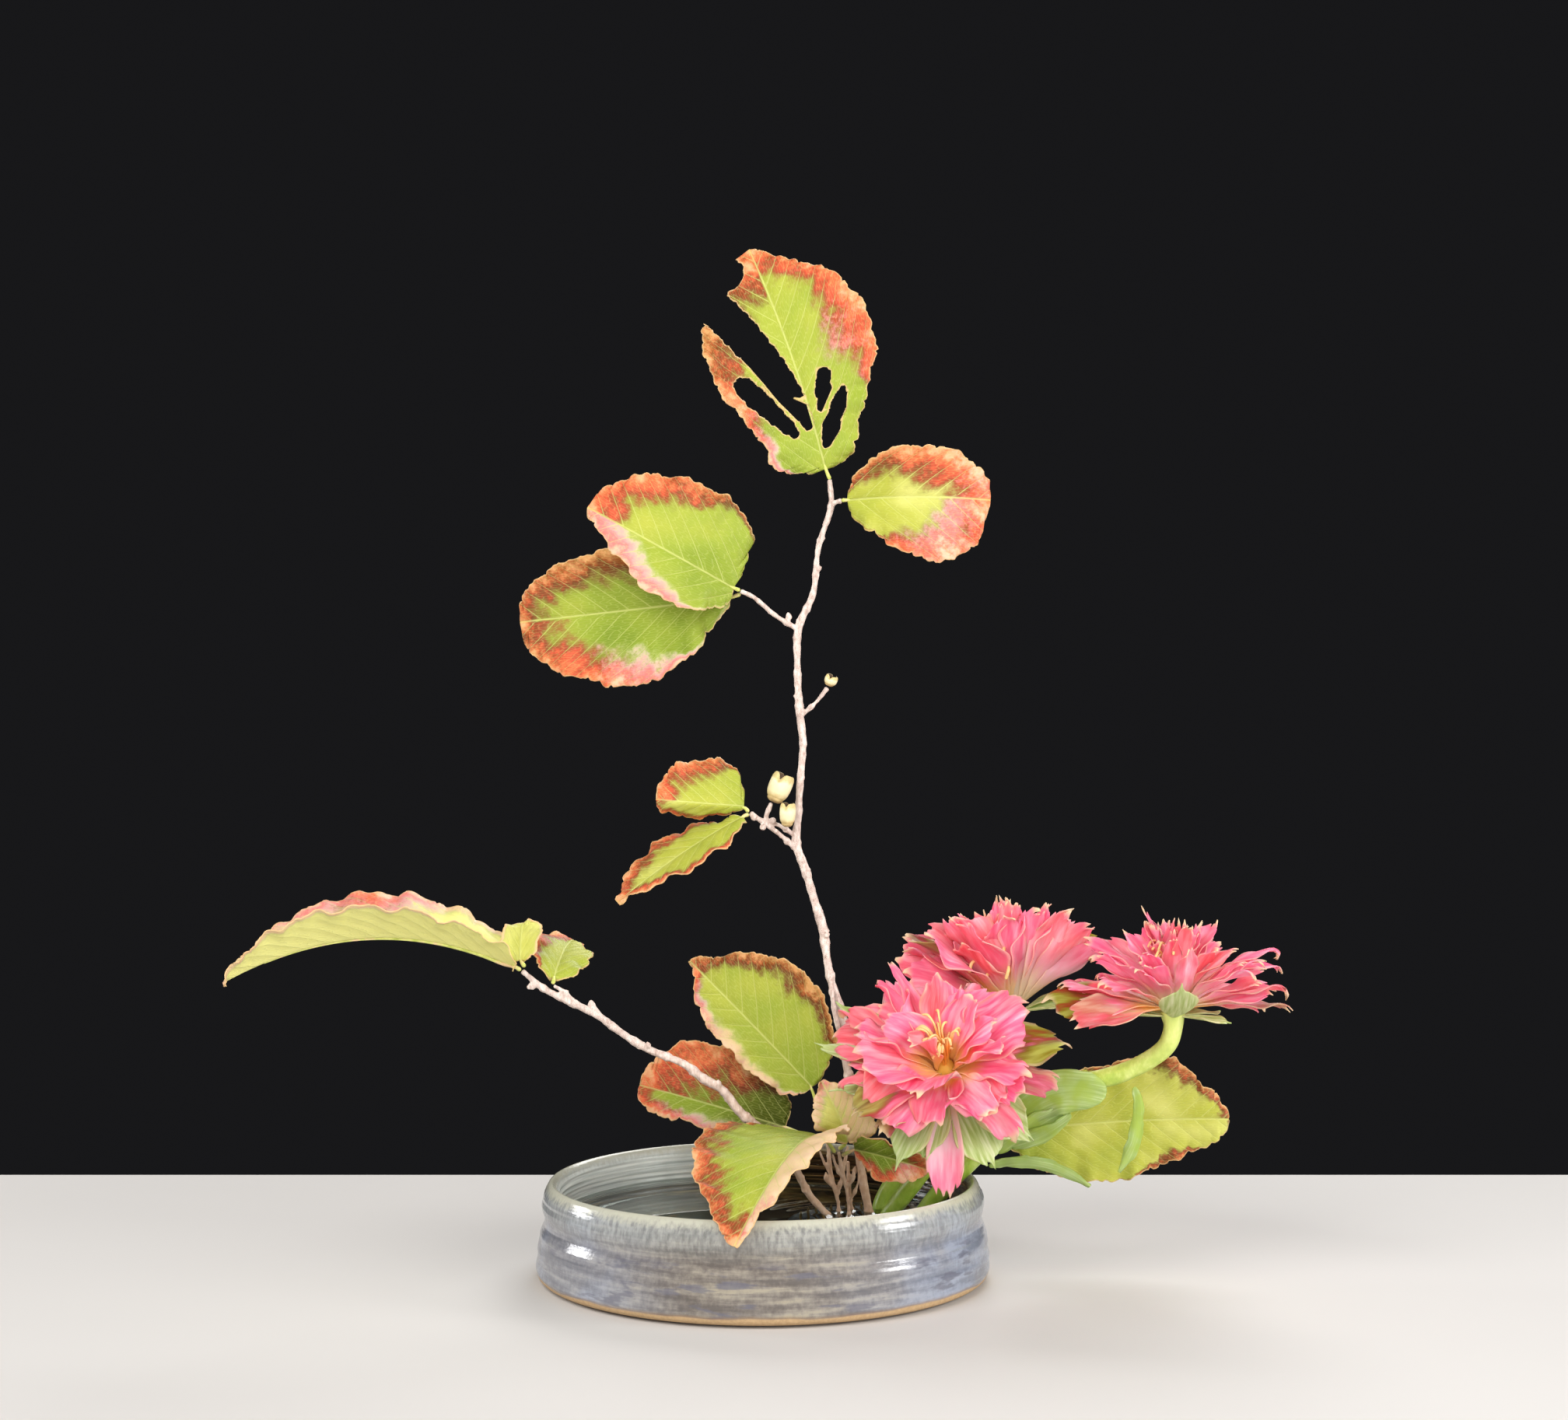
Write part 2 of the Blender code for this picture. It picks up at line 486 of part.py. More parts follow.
def make_whorl(name, kind, whorl, chance, finish):
    # a many-sided hub with one petal drawn out of each side face
    count = whorl[0]
    hub_radius = HUB_RADIUS[kind]
    low, high = HUB_SPAN[kind]
    data = bmesh.new()
    corner = hub_radius / math.cos(math.pi / count)
    turns = [math.tau * (k + 0.5) / count for k in range(count)]
    rims = [[data.verts.new(Vector((corner * math.cos(a), corner * math.sin(a), z)) * MM)
             for a in turns] for z in (low, high)]
    data.faces.new(rims[0][::-1])
    data.faces.new(rims[1])
    for k in range(count):
        angle = math.tau * k / count
        direction = Vector((math.cos(angle), math.sin(angle), 0))
        side = Vector((-math.sin(angle), math.cos(angle), 0))
        before = (k - 1) % count
        ring = [rims[0][k], rims[0][before], rims[1][before], rims[1][k]]
        for section in petal_sections(direction, side, whorl, PETAL_STEPS[kind], hub_radius,
                                      (low + high) / 2, chance):
            new = [data.verts.new(point * MM) for point in section]
            for i in range(4):
                j = (i + 1) % 4
                data.faces.new((ring[i], ring[j], new[j], new[i]))
            ring = new
        data.faces.new(ring)
    return make_object(name, data, finish, sharp=50)


def make_bloom(name, spec, finishes):
    chance = random.Random(spec["seed"])
    stand = bpy.data.objects.new(name + "_bloom", None)
    stand.location = Vector(spec["base"]) * MM
    stand.rotation_mode = "QUATERNION"
    stand.rotation_quaternion = Vector((0, 0, 1)).rotation_difference(Vector(spec["axis"]))
    bpy.context.collection.objects.link(stand)
    for kind in ("calyx", "outer", "middle", "inner", "stamens"):
        ending = kind + "_petals" if kind in ("outer", "middle", "inner") else kind
        whorl = make_whorl(f"{name}_{ending}", kind, spec[kind], chance, finishes[kind])
        whorl.parent = stand


def build():
    clear_scene()
    glaze = finish_material("grey_glaze", (0.31, 0.33, 0.37), 0.25)
    clear = finish_material("water", (0.30, 0.33, 0.34), 0.05)
    lead = finish_material("lead_and_brass", (0.20, 0.20, 0.19), 0.45, 1.0)
    bark = finish_material("pale_bark", (0.62, 0.54, 0.46), 0.75)
    husk = finish_material("dry_capsule", (0.68, 0.58, 0.36), 0.7)
    green = finish_material("autumn_leaf", (0.36, 0.44, 0.06), 0.5)
    soft = finish_material("soft_stem", (0.34, 0.43, 0.08), 0.45)
    pink = finish_material("pink_petal", (0.84, 0.16, 0.24), 0.5)
    pollen = finish_material("stamen", (0.84, 0.55, 0.14), 0.6)

    standing = {"tall_branch": TALL_BRANCH, "left_branch": LEFT_BRANCH}
    standing.update(SHORT_TWIGS)
    standing.update({key + "_flower_stem": stations for key, stations in FLOWER_STEMS.items()})
    make_bowl(glaze)
    make_pin_holder(lead)
    make_water(clear, standing)
    pin_room = make_pins("stem_pin_room", GAP)
    make_branch("tall_branch", TALL_BRANCH, TALL_BRANCH_TWIGS, bark, pin_room)
    make_branch("left_branch", LEFT_BRANCH, LEFT_BRANCH_TWIGS, bark, pin_room)
    for name, stations in SHORT_TWIGS.items():
        make_branch(name, stations, (), bark, pin_room)
    for name, stations in FLOWER_STEMS.items():
        make_branch(name + "_flower_stem", stations, (), soft, pin_room)
    for name, spec in LEAVES.items():
        leaf = make_leaf(name, spec, soft if name.startswith("stem_") else green)
        if name == "top_leaf":
            eat_holes(leaf, spec)
    make_capsule("large_capsule", (4.2, 2.6, 188.2), (0.42, 0, 1), 4.6, 12, husk)
    make_capsule("small_capsule", (9.6, 1.2, 178.4), (0.05, -0.1, 1), 3.2, 9.5, husk)
    make_capsule("end_capsule", (26.3, 5.1, 234.8), (0.4, -0.3, 1), 2.6, 4.4, husk)
    finishes = {"calyx": soft, "outer": pink, "middle": pink, "inner": pink, "stamens": pollen}
    for name, spec in BLOOMS.items():
        make_bloom(name, spec, finishes)


build()
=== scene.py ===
import functools
import math

import bpy
import numpy as np
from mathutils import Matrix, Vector


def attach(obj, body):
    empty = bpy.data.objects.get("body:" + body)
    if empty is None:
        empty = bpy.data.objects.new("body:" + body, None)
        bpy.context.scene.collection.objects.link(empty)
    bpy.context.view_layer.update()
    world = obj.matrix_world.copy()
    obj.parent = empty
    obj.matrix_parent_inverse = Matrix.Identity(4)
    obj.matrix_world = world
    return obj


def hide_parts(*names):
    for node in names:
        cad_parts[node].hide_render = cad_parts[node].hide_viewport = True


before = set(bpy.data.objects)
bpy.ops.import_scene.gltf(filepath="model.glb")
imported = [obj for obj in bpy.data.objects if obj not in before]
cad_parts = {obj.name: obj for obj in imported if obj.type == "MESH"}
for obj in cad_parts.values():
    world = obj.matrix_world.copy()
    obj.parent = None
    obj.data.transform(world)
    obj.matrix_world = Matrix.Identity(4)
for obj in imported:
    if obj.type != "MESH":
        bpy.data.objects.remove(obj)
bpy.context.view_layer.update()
mm = 0.001                                  # every length below is in millimetres


def unit(vectors):
    # each vector made one long
    return vectors / np.linalg.norm(vectors, axis=-1, keepdims=True)


def curveThrough(knots, values, at):
    # cubic Hermite curve through the values; each slope is the mean of the two runs beside it
    knots, values, at = (np.asarray(item, float) for item in (knots, values, at))
    flat = values.ndim == 1
    values = values[:, None] if flat else values
    runs = np.diff(values, axis=0) / np.diff(knots)[:, None]
    slopes = np.concatenate([runs[:1], (runs[1:] + runs[:-1]) / 2, runs[-1:]])
    k = np.clip(np.searchsorted(knots, at, side="right") - 1, 0, len(knots) - 2)
    span = np.diff(knots)[k][..., None]
    t = (at - knots[k])[..., None] / span
    made = ((2 * t**3 - 3 * t**2 + 1) * values[k] + (t**3 - 2 * t**2 + t) * span * slopes[k]
            + (3 * t**2 - 2 * t**3) * values[k + 1] + (t**3 - t**2) * span * slopes[k + 1])
    return made[..., 0] if flat else made


def wander(at, seed, length, octaves=3):
    # smooth chance within -1..1: sines of falling length and size, each with a seeded start
    chance = np.random.default_rng(seed)
    sizes = 0.62 ** np.arange(octaves)
    waves = [size * np.sin(math.tau * at * 1.83**k / length + chance.uniform(0, math.tau))
             for k, size in enumerate(sizes)]
    return sum(waves) / sizes.sum()


def grain(points, seed, length, waves=7):
    # smooth chance in space: sines that run in seeded directions
    chance = np.random.default_rng(seed)
    ways = unit(chance.normal(size=(waves, 3))) * chance.uniform(0.7, 1.6, (waves, 1))
    starts = chance.uniform(0, math.tau, waves)
    return np.sin(points @ ways.T * (math.tau / length) + starts).mean(-1) * 1.6


def smoothStep(low, high, value):
    # 0 below low, 1 above high, and an even S between them
    t = np.clip((value - low) / (high - low), 0, 1)
    return t * t * (3 - 2 * t)


def gridFaces(rows, columns, around=False):
    # quads between neighbours; around also joins the last column to the first
    i = np.arange(rows - 1)[:, None]
    j = np.arange(columns if around else columns - 1)[None, :]
    k = (j + 1) % columns
    corners = (i * columns + j, i * columns + k, (i + 1) * columns + k, (i + 1) * columns + j)
    return np.stack(corners, -1).reshape(-1, 4)


def closedFaces(rows, around):
    # a tube of rings, closed by fans to two poles that follow the grid
    k = np.arange(around)
    low, high, last = rows * around, rows * around + 1, (rows - 1) * around
    start = np.stack([np.full(around, low), (k + 1) % around, k], -1)
    end = np.stack([np.full(around, high), last + k, last + (k + 1) % around], -1)
    return gridFaces(rows, around, True).tolist() + start.tolist() + end.tolist()


def makePiece(name, points, faces, materials, replaced, attributes=None, shades=None):
    # one mesh from points in millimetres; faces are lists of corners, shades their material slots
    mesh = bpy.data.meshes.new(name)
    mesh.from_pydata((points.reshape(-1, 3) * mm).tolist(), [], [list(face) for face in faces])
    for material in materials:
        mesh.materials.append(material)
    if shades is not None:
        mesh.polygons.foreach_set("material_index", np.asarray(shades, np.int32))
    for key, values in (attributes or {}).items():
        kind = "FLOAT" if values.ndim == 1 else "FLOAT_VECTOR"
        made = mesh.attributes.new(key, kind, "POINT")
        made.data.foreach_set("value" if values.ndim == 1 else "vector", values.ravel())
    mesh.shade_smooth()
    mesh.validate()
    mesh.update()
    piece = bpy.data.objects.new(name, mesh)
    bpy.context.collection.objects.link(piece)
    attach(piece, "root")
    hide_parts(replaced)
    return piece


def thicken(piece, thickness, underside=0):
    # a sheet made a closed skin, half its thickness to each side
    skin = piece.modifiers.new("thickness", "SOLIDIFY")
    skin.thickness = thickness * mm
    skin.offset = 0
    skin.material_offset = underside


def ringFrames(path):
    # directions along a path, and two across it that turn as little as they can
    ways = unit(np.gradient(path, axis=0))
    side = np.cross(ways[0], (0.31, 0.87, 0.37))        # any direction that is not the path's own
    sides = []
    for way in ways:
        side = unit(side - way * side.dot(way))
        sides.append(side)
    sides = np.array(sides)
    return ways, sides, np.cross(ways, sides)


def tubeShape(stations, step, around, relief=None, ends=(1.0, 1.0)):
    # a ring carried along the smooth path through x, y, z, radius, and closed by a dome at each
    # end, as high as ends says; relief(along, turn, points) is added to the radius
    stations = np.asarray(stations, float)
    runs = np.linalg.norm(np.diff(stations[:, :3], axis=0), axis=1)
    knots = np.concatenate([[0], np.cumsum(runs)])
    at = np.linspace(0, knots[-1], max(int(knots[-1] / step), 6))
    made = curveThrough(knots, stations, at)
    path, radius = made[:, :3], made[:, 3]
    ways, sides, ups = ringFrames(path)
    turn = np.linspace(0, math.tau, around, endpoint=False)[None, :, None]
    spokes = sides[:, None] * np.cos(turn) + ups[:, None] * np.sin(turn)
    size = np.repeat(radius[:, None], around, 1)
    if relief is not None:
        size = size + relief(at[:, None], turn[..., 0], path[:, None] + spokes * size[..., None])
    domes, poles = [], []
    for end, sign, high in ((0, -1, ends[0]), (-1, 1, ends[1])):
        rise = ways[end] * sign * radius[end] * high
        domes.append([path[end] + rise * math.sin(a)
                      + spokes[end] * (size[end][:, None] * math.cos(a)) for a in (0.5, 1.0, 1.4)])
        poles.append(path[end] + rise)
    grid = np.concatenate([domes[0][::-1], path[:, None] + spokes * size[..., None], domes[1]])
    return np.concatenate([grid.reshape(-1, 3), poles]), closedFaces(len(grid), around)


def joinShapes(shapes):
    # several shapes as one, the corners of each counted on from the shape before
    points, faces, start = [], [], 0
    for made, corners in shapes:
        points.append(made.reshape(-1, 3))
        faces += [[corner + start for corner in face] for face in corners]
        start += len(points[-1])
    return np.concatenate(points), faces


def turnedShape(profile, around, centre=(0, 0), relief=None):
    # a profile of radius and height carried round an upright axis, both its ends on the axis
    profile = np.asarray(profile, float)
    turn = np.linspace(0, math.tau, around, endpoint=False)[None]
    radius = np.repeat(profile[1:-1, :1], around, 1)
    height = np.repeat(profile[1:-1, 1:], around, 1)
    if relief is not None:
        radius, height = relief(radius, height, turn)
    grid = np.stack([centre[0] + radius * np.cos(turn), centre[1] + radius * np.sin(turn),
                     height], -1)
    poles = [(centre[0], centre[1], profile[k, 1]) for k in (0, -1)]
    return np.concatenate([grid.reshape(-1, 3), poles]), closedFaces(len(grid), around)


def linear(text):
    # an sRGB hex colour as linear light
    parts = np.array([int(text[k:k + 2], 16) for k in (1, 3, 5)]) / 255
    light = np.where(parts <= 0.04045, parts / 12.92, ((parts + 0.055) / 1.055) ** 2.4)
    return (*light.tolist(), 1.0)


def addNode(tree, kind, *inputs, out=0, stops=(), **named):
    # one node and the socket it gives. Inputs go in order or by name, each a value, a hex colour or
    # a socket to link; names in small letters are the node's own settings, stops a ramp's colours.
    node = tree.nodes.new("ShaderNode" + kind)
    for key in [key for key in named if key[0].islower()]:
        setattr(node, key, named.pop(key))
    for key, value in [*enumerate(inputs), *named.items()]:
        socket = node.inputs[key.replace("_", " ") if isinstance(key, str) else key]
        if isinstance(value, bpy.types.NodeSocket):
            tree.links.new(value, socket)
        elif value is not None:
            socket.default_value = linear(value) if isinstance(value, str) else value
    for k, (place, colour) in enumerate(stops):
        ramp = node.color_ramp.elements
        if k == 0:
            ramp.remove(ramp[1])
            ramp[0].position = place
        stop = ramp.new(place) if k else ramp[0]
        stop.color = linear(colour)
    return node.outputs[out] if out is not None else list(node.outputs)


def newMaterial(name, **values):
    # a Principled shader with its constant sockets set, and the tool that adds nodes beside it
    material = bpy.data.materials.new(name)
    material.use_nodes = True
    sockets = material.node_tree.nodes["Principled BSDF"].inputs
    for key, value in values.items():
        value = linear(value) if isinstance(value, str) else value
        sockets[key.replace("_", " ")].default_value = value
    return material, functools.partial(addNode, material.node_tree)


# settings that many nodes share
times, timesPlus, minus, plus, greater = (dict(operation=name) for name in (
    "MULTIPLY", "MULTIPLY_ADD", "SUBTRACT", "ADD", "MAXIMUM"))
smooth = dict(interpolation_type="SMOOTHSTEP")


def dress(material, colour, relief=None, depth=0.3, glow=0.0, roughness=None):
    # leads in the colour, a relief in millimetres, and the light that comes through from behind
    tree = material.node_tree
    shader = tree.nodes["Principled BSDF"]
    tree.links.new(colour, shader.inputs["Base Color"])
    if roughness:
        tree.links.new(roughness, shader.inputs["Roughness"])
    if relief:
        bump = addNode(tree, "Bump", Height=relief, Distance=depth * mm, Strength=0.8)
        tree.links.new(bump, shader.inputs["Normal"])
    if glow:
        through = addNode(tree, "BsdfTranslucent", colour)
        both = addNode(tree, "MixShader", glow, shader.outputs[0], through)
        tree.links.new(both, tree.nodes["Material Output"].inputs[0])
    return material


view = dict(place=(8.4, -990, 225), lens=57.03, sensor=36, nearest=10)     # looks level
lamps = {"key": dict(place=(-700, -900, 1000), size=1000, power=21),
         "left": dict(place=(-1050, 300, 330), size=260, power=3.6),
         "right": dict(place=(1000, -300, 430), size=300, power=5),
         "fill": dict(place=(900, -1000, 500), size=1000, power=13),
         "front": dict(place=(0, -1500, 500), size=1000, power=12),
         "back": dict(place=(300, 900, 900), size=700, power=10)}
lampAim, noGlint = (0, 0, 150), 900         # lamps as broad as the second leave no glint
room = dict(glow=(0.009, 0.009, 0.01, 1), floor="#C6C2BE", near=-1600, far=212, side=1400)


def makeCamera():
    # level, looking straight away
    data = bpy.data.cameras.new("camera")
    data.lens = view["lens"]
    data.sensor_width = view["sensor"]
    data.clip_start = view["nearest"] * mm
    camera = bpy.data.objects.new("camera", data)
    camera.location = [part * mm for part in view["place"]]
    camera.rotation_euler = (math.pi / 2, 0, 0)
    bpy.context.collection.objects.link(camera)
    bpy.context.scene.camera = camera


def makeLight():
    # broad lamps all aimed at the middle of the arrangement, in a dim even room
    aim = Vector([part * mm for part in lampAim])
    for name, lamp in lamps.items():
        data = bpy.data.lights.new(name, "AREA")
        data.energy = lamp["power"]
        data.size = lamp["size"] * mm
        light = bpy.data.objects.new(name, data)
        light.location = [part * mm for part in lamp["place"]]
        light.visible_glossy = lamp["size"] < noGlint
        light.rotation_mode = "QUATERNION"
        light.rotation_quaternion = (aim - light.location).to_track_quat("-Z", "Y")
        bpy.context.collection.objects.link(light)
    world = bpy.data.worlds.new("soft room")
    world.use_nodes = True
    world.node_tree.nodes["Background"].inputs[0].default_value = room["glow"]
    bpy.context.scene.world = world
    bpy.context.scene.view_settings.view_transform = "Standard"


def makeFloor():
    # one flat sheet, from in front of the lamps to a little behind the bowl
    near, far, side = (room[key] * mm for key in ("near", "far", "side"))
    mesh = bpy.data.meshes.new("floor")
    mesh.from_pydata([(-side, near, 0), (side, near, 0), (side, far, 0), (-side, far, 0)], [],
                     [(0, 1, 2, 3)])
    mesh.materials.append(newMaterial("pale floor", Roughness=0.7, Base_Color=room["floor"])[0])
    floor = bpy.data.objects.new("floor", mesh)
    bpy.context.collection.objects.link(floor)


# profiles run from the middle of the base out and up, then down the inside; ridges are the soft
# throwing lines outside and the closer ones inside: their spacing and depth. They fade in and out
# over the heights in ridged, and wobble is how far the wall is from round in two and three lobes
bowl = dict(
    outside=((0, 0.4), (30, 0.3), (78, 0), (81.5, 0), (88, 1.5), (89.8, 4.5), (89.6, 8), (89.2, 12),
             (88.9, 15.5), (88.2, 19), (86.9, 22.3), (86.5, 25), (87.3, 28), (87.6, 30.4), (87, 33),
             (86, 35.4), (84.9, 37.6), (83.6, 38.5)),
    inside=((82.3, 37.8), (81.2, 36), (80.7, 33), (80.6, 30), (81.2, 26.5), (81.7, 23),
            (82.3, 18.5), (82.2, 14.5), (80.8, 10.6), (77.4, 7.6), (70, 6), (30, 5.9), (0, 5.9)),
    ridges=(7.5, 0.16), insideRidges=(2.6, 0.3), ridged=((3, 8), (34, 37.5)), wobble=(0.35, 0.2),
    innerWall=82.6, around=288, rows=260)
# the glaze's colours, from where it lies thin to where it lies thick; the bluish pair is a painted
# reflection, and the inside's brown and pale grey-green sets are painted shade and painted light
glaze = dict(
    coat=((0.38, "#5A534D"), (0.46, "#6B635B"), (0.52, "#7A7268"), (0.6, "#8B8375")),
    brown=((0.34, "#140A05"), (0.46, "#2E1C0F"), (0.54, "#4E3720"), (0.62, "#7C6038"),
           (0.7, "#B69A66")),
    insidePaintedLight=((0.36, "#B4BAB4"), (0.55, "#CDD1CA"), (0.68, "#D8DBD2")), buff="#9D937C",
    reflectionBlues=("#767C8A", "#8D95A6"), shoulder=("#838582", "#9EA29E"), slate="#5E5D68",
    lip="#B0AE9C", clay=("#9A7C58", "#C6A880"), rust="#86694C")


def bowlRelief(radius, height, turn):
    # throwing ridges that climb in a slow spiral, and the slight wobble of a hand-thrown wall
    start, end = bowl["ridged"]
    up = smoothStep(*start, height) * (1 - smoothStep(*end, height))
    ridges = []
    for key, seed in (("ridges", 4), ("insideRidges", 6)):
        spacing, depth = bowl[key]
        spiral = height + turn / math.tau * spacing
        line = np.sin(spiral * math.tau / spacing) * (0.7 + 0.5 * np.sin(2 * turn + height / 5))
        ridges.append(depth * (line + 0.6 * wander(spiral + 2 * np.sin(turn), seed, spacing * 0.7)))
    relief = up * np.where(radius < bowl["innerWall"], ridges[1], ridges[0])
    two, three = bowl["wobble"]
    wobble = two * np.sin(2 * turn + 0.6) + three * np.sin(3 * turn + height / 14)
    share = smoothStep(60, 80, radius)
    return radius + share * (relief + wobble), height + share * up * 0.12 * np.sin(3 * turn + 1.3)


def stonewareMaterial():
    # Ash-glazed stoneware, thrown and dipped: a glassy grey coat mottled in short runs, buff where
    # it thins on the lip and ridges, a painted bluish reflection on its left and right sides, slate
    # in smears, painted shade and reflection in brown on the back of the inside and painted light
    # on its left, and a bare sandy foot below the line where the dipping stopped
    material, add = newMaterial("ash glazed stoneware", IOR=1.52)
    place = add("TexCoord", out="Object")
    flat, tall, wide, wider, widest = (add("Mapping", place, Scale=scale) for scale in (
        (1, 1, 0), (1, 1, 0.35), (0.09, 0.09, 1), (0.2, 0.2, 1), (0.03, 0.03, 1)))
    x, _, z = add("SeparateXYZ", place, out=None)
    away = add("VectorMath", flat, operation="LENGTH", out="Value")
    height, across, away = (add("Math", part, mm, operation="DIVIDE") for part in (z, x, away))
    # patterns, each with its size in millimetres, detail and roughness
    runs, mottle, bands, smears, clouds, lines, fine, sand = (
        add("TexNoise", where, Scale=1 / (size * mm), Detail=detail, Roughness=rough)
        for where, size, detail, rough in (
            (tall, 1.6, 3, 0.55), (place, 2.6, 4, 0.6), (wide, 3.4, 4, 0.6), (wider, 4.2, 3, 0.6),
            (place, 26, 2, 0.5), (widest, 1.3, 3, 0.6), (place, 0.5, 2, 0.5), (place, 1.1, 3, 0.5)))
    # the coat ran a little below the lip, and lies in soft bands further down
    ran = add("Math", add("Math", runs, 0.5, **minus), add("MapRange", height, 24, 34, 0.12, 0.5),
              **times)
    tone = add("Math", mottle, 0.3, ran, **timesPlus)
    tone = add("Math", bands, 0.7, tone, **timesPlus)
    colour = add("ValToRGB", tone, stops=glaze["coat"])
    # buff bands, a painted bluish reflection to the right and left, a greyer shoulder, and slate
    # smears lower down
    warm = add("MapRange", bands, 0.54, 0.66, 0, 0.6, **smooth)
    warm = add("Math", warm, add("MapRange", mottle, 0.42, 0.58, 0.45, 1), **times)
    # painted reflection: a bluish tint that grows towards the bowl's right and left sides, in
    # patches
    right = add("MapRange", across, 8, 80, 0.04, 0.9, **smooth)
    left = add("MapRange", across, -18, -72, 0, 0.75, **smooth)
    cloudy = add("MapRange", clouds, 0.38, 0.62, 0.6, 1, **smooth)
    paintedSideReflection = add("Math", add("Math", right, left, **greater), cloudy, **times)
    slate = add("MapRange", smears, 0.55, 0.65, 0, 0.7, **smooth)
    slate = add("Math", slate, add("MapRange", height, 26, 18, 0.0, 1, **smooth), **times)
    level = add("Math", runs, 5.0, height, **timesPlus)
    for share, paint in (
            (warm, glaze["buff"]),
            (paintedSideReflection, add("MixRGB", add("MapRange", tone, 0.42, 0.6), *glaze["reflectionBlues"])),
            (add("MapRange", height, 22, 33, 0, 0.55, **smooth),
             add("MixRGB", add("MapRange", runs, 0.36, 0.6), *glaze["shoulder"])),
            (slate, glaze["slate"]),
            (add("MapRange", level, 36.6, 40.2, 0, 0.85, **smooth), glaze["lip"])):
        colour = add("MixRGB", share, colour, paint)
    # inside: pale grey-green on the left as painted light, brown with gold lines to the back and
    # right and low down as painted shade and reflection
    inner = add("MapRange", away, 83.2, 82.2, **smooth)
    inner = add("Math", inner, add("MapRange", level, 40.4, 37.4), **times)
    brown, insidePaintedLight = (add("ValToRGB", lines, stops=glaze[key]) for key in ("brown", "insidePaintedLight"))
    # painted shade and reflection: brown towards the back and right, and below 20 mm
    edge = add("Math", add("Math", clouds, 40.0, across, **timesPlus), 20.0, **minus)
    insidePaintedShade = add("Math", add("MapRange", edge, -44, -14, **smooth),
                  add("MapRange", height, 20, 12), **greater)
    colour = add("MixRGB", inner, colour, add("MixRGB", insidePaintedShade, insidePaintedLight, brown))
    # bare clay below the glaze line, browned along it
    over = add("Math", height, add("Math", clouds, 3.0, 1.6, **timesPlus), **minus)
    foot = add("MapRange", away, 60, 70)
    bare = add("Math", add("MapRange", over, 0.9, 0.1, **smooth), foot, **times)
    rust = add("Math", add("MapRange", over, 2.0, 0.4, 0, 0.6, **smooth), foot, **times)
    colour = add("MixRGB", rust, colour, glaze["rust"])
    colour = add("MixRGB", bare, colour, add("MixRGB", sand, *glaze["clay"]))
    gloss = add("MapRange", bare, 0, 1, 0.14, 0.85)
    relief = add("Math", fine, 0.15, add("Math", mottle, bands), **timesPlus)
    return dress(material, colour, relief, 0.13, roughness=gloss)


def makeBowl():
    # the wall's profile, drawn smooth through its points and carried round the bowl's axis
    wall = bowl["outside"] + bowl["inside"]
    knots = np.arange(len(wall))
    profile = curveThrough(knots, wall, np.linspace(0, knots[-1], bowl["rows"]))
    profile[:, 1] = np.maximum(profile[:, 1], 0)
    points, faces = turnedShape(profile, bowl["around"], relief=bowlRelief)
    makePiece("thrown_bowl", points, faces, [stonewareMaterial()], "bowl")


# feet are where stems stand in the water: x, y and radius. The surface rises at the wall and at
# each stem, within a reach; ripples has their height, radians a millimetre, and reach
water = dict(level=24.0, floor=6.1, radius=82.4, wallRise=0.9, wallReach=1.6, stemRise=0.7,
             stemReach=1.5, ripples=(0.07, 0.9, 16), rings=90, around=192,
             feet=((42.3, 2, 2.6), (24.5, -3, 2.4), (30.2, 3, 1.6), (34, -4, 1.5), (35, 7, 1.6),
                   (65.6, 13, 1.8), (50, -5, 3.5), (48, 10, 3.4), (64.5, 5, 3.8)),
             below=((82.5, 18.5), (82.2, 14.5), (80.9, 10.6), (77.5, 7.6), (70, 6.1), (30, 6.1)))


def waterRelief(radius, height, turn):
    # the surface climbs the wall and each stem, and ripples a little round the stems
    x, y = radius * np.cos(turn), radius * np.sin(turn)
    rise = water["wallRise"] * np.exp((radius - water["radius"]) / water["wallReach"])
    rippleHigh, rippleRate, rippleReach = water["ripples"]
    for footX, footY, size in water["feet"]:
        away = np.maximum(np.hypot(x - footX, y - footY) - size, 0)
        ripple = rippleHigh * np.cos(away * rippleRate) * np.exp(-away / rippleReach)
        rise = rise + water["stemRise"] * np.exp(-away / water["stemReach"]) + ripple
    return radius, height + rise * (height == water["level"])


def makeWater():
    # a disc of water, its flat profile closed below along the bowl's inside
    level = water["level"]
    top = [(out, level) for out in np.linspace(0.6, water["radius"], water["rings"])]
    profile = [(0, level), *top, *water["below"], (0, water["floor"])]
    points, faces = turnedShape(profile, water["around"], relief=waterRelief)
    # Still water: clear and a little green, its surface mirrors the wall and the stems
    material, _ = newMaterial("still water", Roughness=0.01, IOR=1.333, Transmission_Weight=1.0,
                              Base_Color="#D8E2DC")
    makePiece("pool", points, [face[::-1] for face in faces], [material], "water")


holder = dict(x=40.0, radius=30.0, low=6.2, high=13.3, pinHigh=21.5, pitch=3.1, pinRadius=0.55,
              pinRows=9, rim=3)


